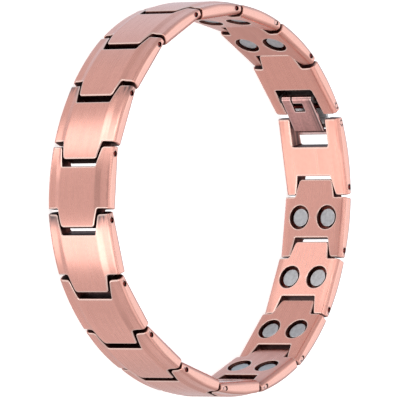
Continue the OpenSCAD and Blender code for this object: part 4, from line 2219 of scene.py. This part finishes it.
@dataclass
class Bracelet:
    """All sub-assemblies of the bracelet.

    Attributes:
        shop: where its pieces are made.
        row: the hinges.
        effects: the shader groups that its finishes share.
        rubbed: soil on the ears of the links that rub most, by index.
        flush_pins: the hinge pins whose ends are bright with wear.
        films: painted shade on the inner faces of the links where it's weaker or stronger, by
            index.
    """

    shop: Workshop
    row: Row
    effects: Effects
    rubbed: dict[int, float] = field(default_factory=lambda: {6: 1.1, 8: 1.2, 3: 0.5, 13: 0.4})
    flush_pins: tuple[int, ...] = (2, 12, 13, 14)
    films: dict[int, float] = field(
        default_factory=lambda: {1: 0.36, 13: 0.33, 15: 0.05, 16: 0.0, 17: 0.33}
    )

    # How far the domes of the bright hinge pins and of the clasp's two pins rise
    FLUSH_REACH, CLASP_REACH = 0.14, 0.22

    def finishes(self) -> dict[str, bpy.types.Material]:
        """Builds each finish once.

        Returns:
            The materials by slot.
        """
        kinds = {
            "copper": BrushedMetal(
                "brushed_copper",
                colour=(0.97, 0.485, 0.405),
                worn=(1.0, 0.74, 0.66),
                stained=(0.075, 0.02, 0.017),
            ),
            "magnet": BrushedMetal(
                "dull_magnet",
                colour=(0.6, 0.595, 0.615),
                worn=(0.9, 0.89, 0.9),
                stained=(0.06, 0.045, 0.045),
                roughness=0.5,
                spread=0.0,
                tone=0.08,
                stain=0.2,
            ),
            "pin": BrushedMetal(
                "pin_copper",
                colour=(0.2, 0.035, 0.028),
                worn=(1.0, 0.62, 0.55),
                stained=(0.1, 0.03, 0.025),
                roughness=0.45,
                spread=0.0,
            ),
            "blade": BrushedMetal(
                "blade_bronze",
                colour=(0.87, 0.466, 0.44),
                worn=(0.98, 0.72, 0.68),
                stained=(0.05, 0.028, 0.026),
                stain=0.2,
            ),
            "arm": BrushedMetal(
                "arm_steel",
                colour=(0.74, 0.73, 0.75),
                worn=(0.85, 0.83, 0.83),
                stained=(0.04, 0.03, 0.03),
                satin=0.7,
            ),
        }
        return {slot: kind.material(self.effects) for slot, kind in kinds.items()}

    def links(self) -> list[Link]:
        """The 18 links in their order round the band.

        Returns:
            The links, each with its own soil and painted shade on the inner face.
        """
        made = [Link("catch_link", 0, End.POCKET, End.TONGUE, self.row.pitch(0), pockets=False)]
        for i in range(1, 17):
            link = Link(f"link_{i:02d}", i, End.NOTCH, End.TONGUE, self.row.pitch(i))
            made.append(link)
        made.append(Link("slot_link", 17, End.NOTCH, End.SLOT, self.row.pitch(17), pockets=False))
        for link in made:
            link.soil = self.rubbed.get(link.index, link.soil)
            link.film = self.films.get(link.index, link.film)
        return made

    def build(self) -> None:
        """Builds every piece and logs it."""
        finish = self.finishes()
        for link in self.links():
            link.build(self.shop, self.row, finish["copper"])
            if link.pockets:
                Magnets(f"magnets_{link.index:02d}", link).build(
                    self.shop, self.row, finish["magnet"]
                )
        for i in range(1, 18):
            pin = CrossPin(f"hinge_pin_{i:02d}")
            if i in self.flush_pins:
                pin.reach, pin.shine = self.FLUSH_REACH, 1.0
            pin.build(self.shop, finish["pin"])
        for node in ("crossbar_pin", "arm_pin"):
            CrossPin(node, reach=self.CLASP_REACH, shine=1.0).build(self.shop, finish["pin"])
        CrossPin("blade_pin", reach=0.0).build(self.shop, finish["pin"])
        Blade().build(self.shop, finish["blade"])
        Arm().build(self.shop, finish["arm"])
        LOG.info("%d triangles", self.shop.triangles)


def main() -> None:
    """Loads the frame and builds the studio and the bracelet."""
    logging.basicConfig(level=logging.INFO, format="%(name)s: %(message)s")
    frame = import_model()
    Studio().build()
    Bracelet(Workshop(frame), Row.read(), Effects()).build()


if __name__ == "__main__":
    main()
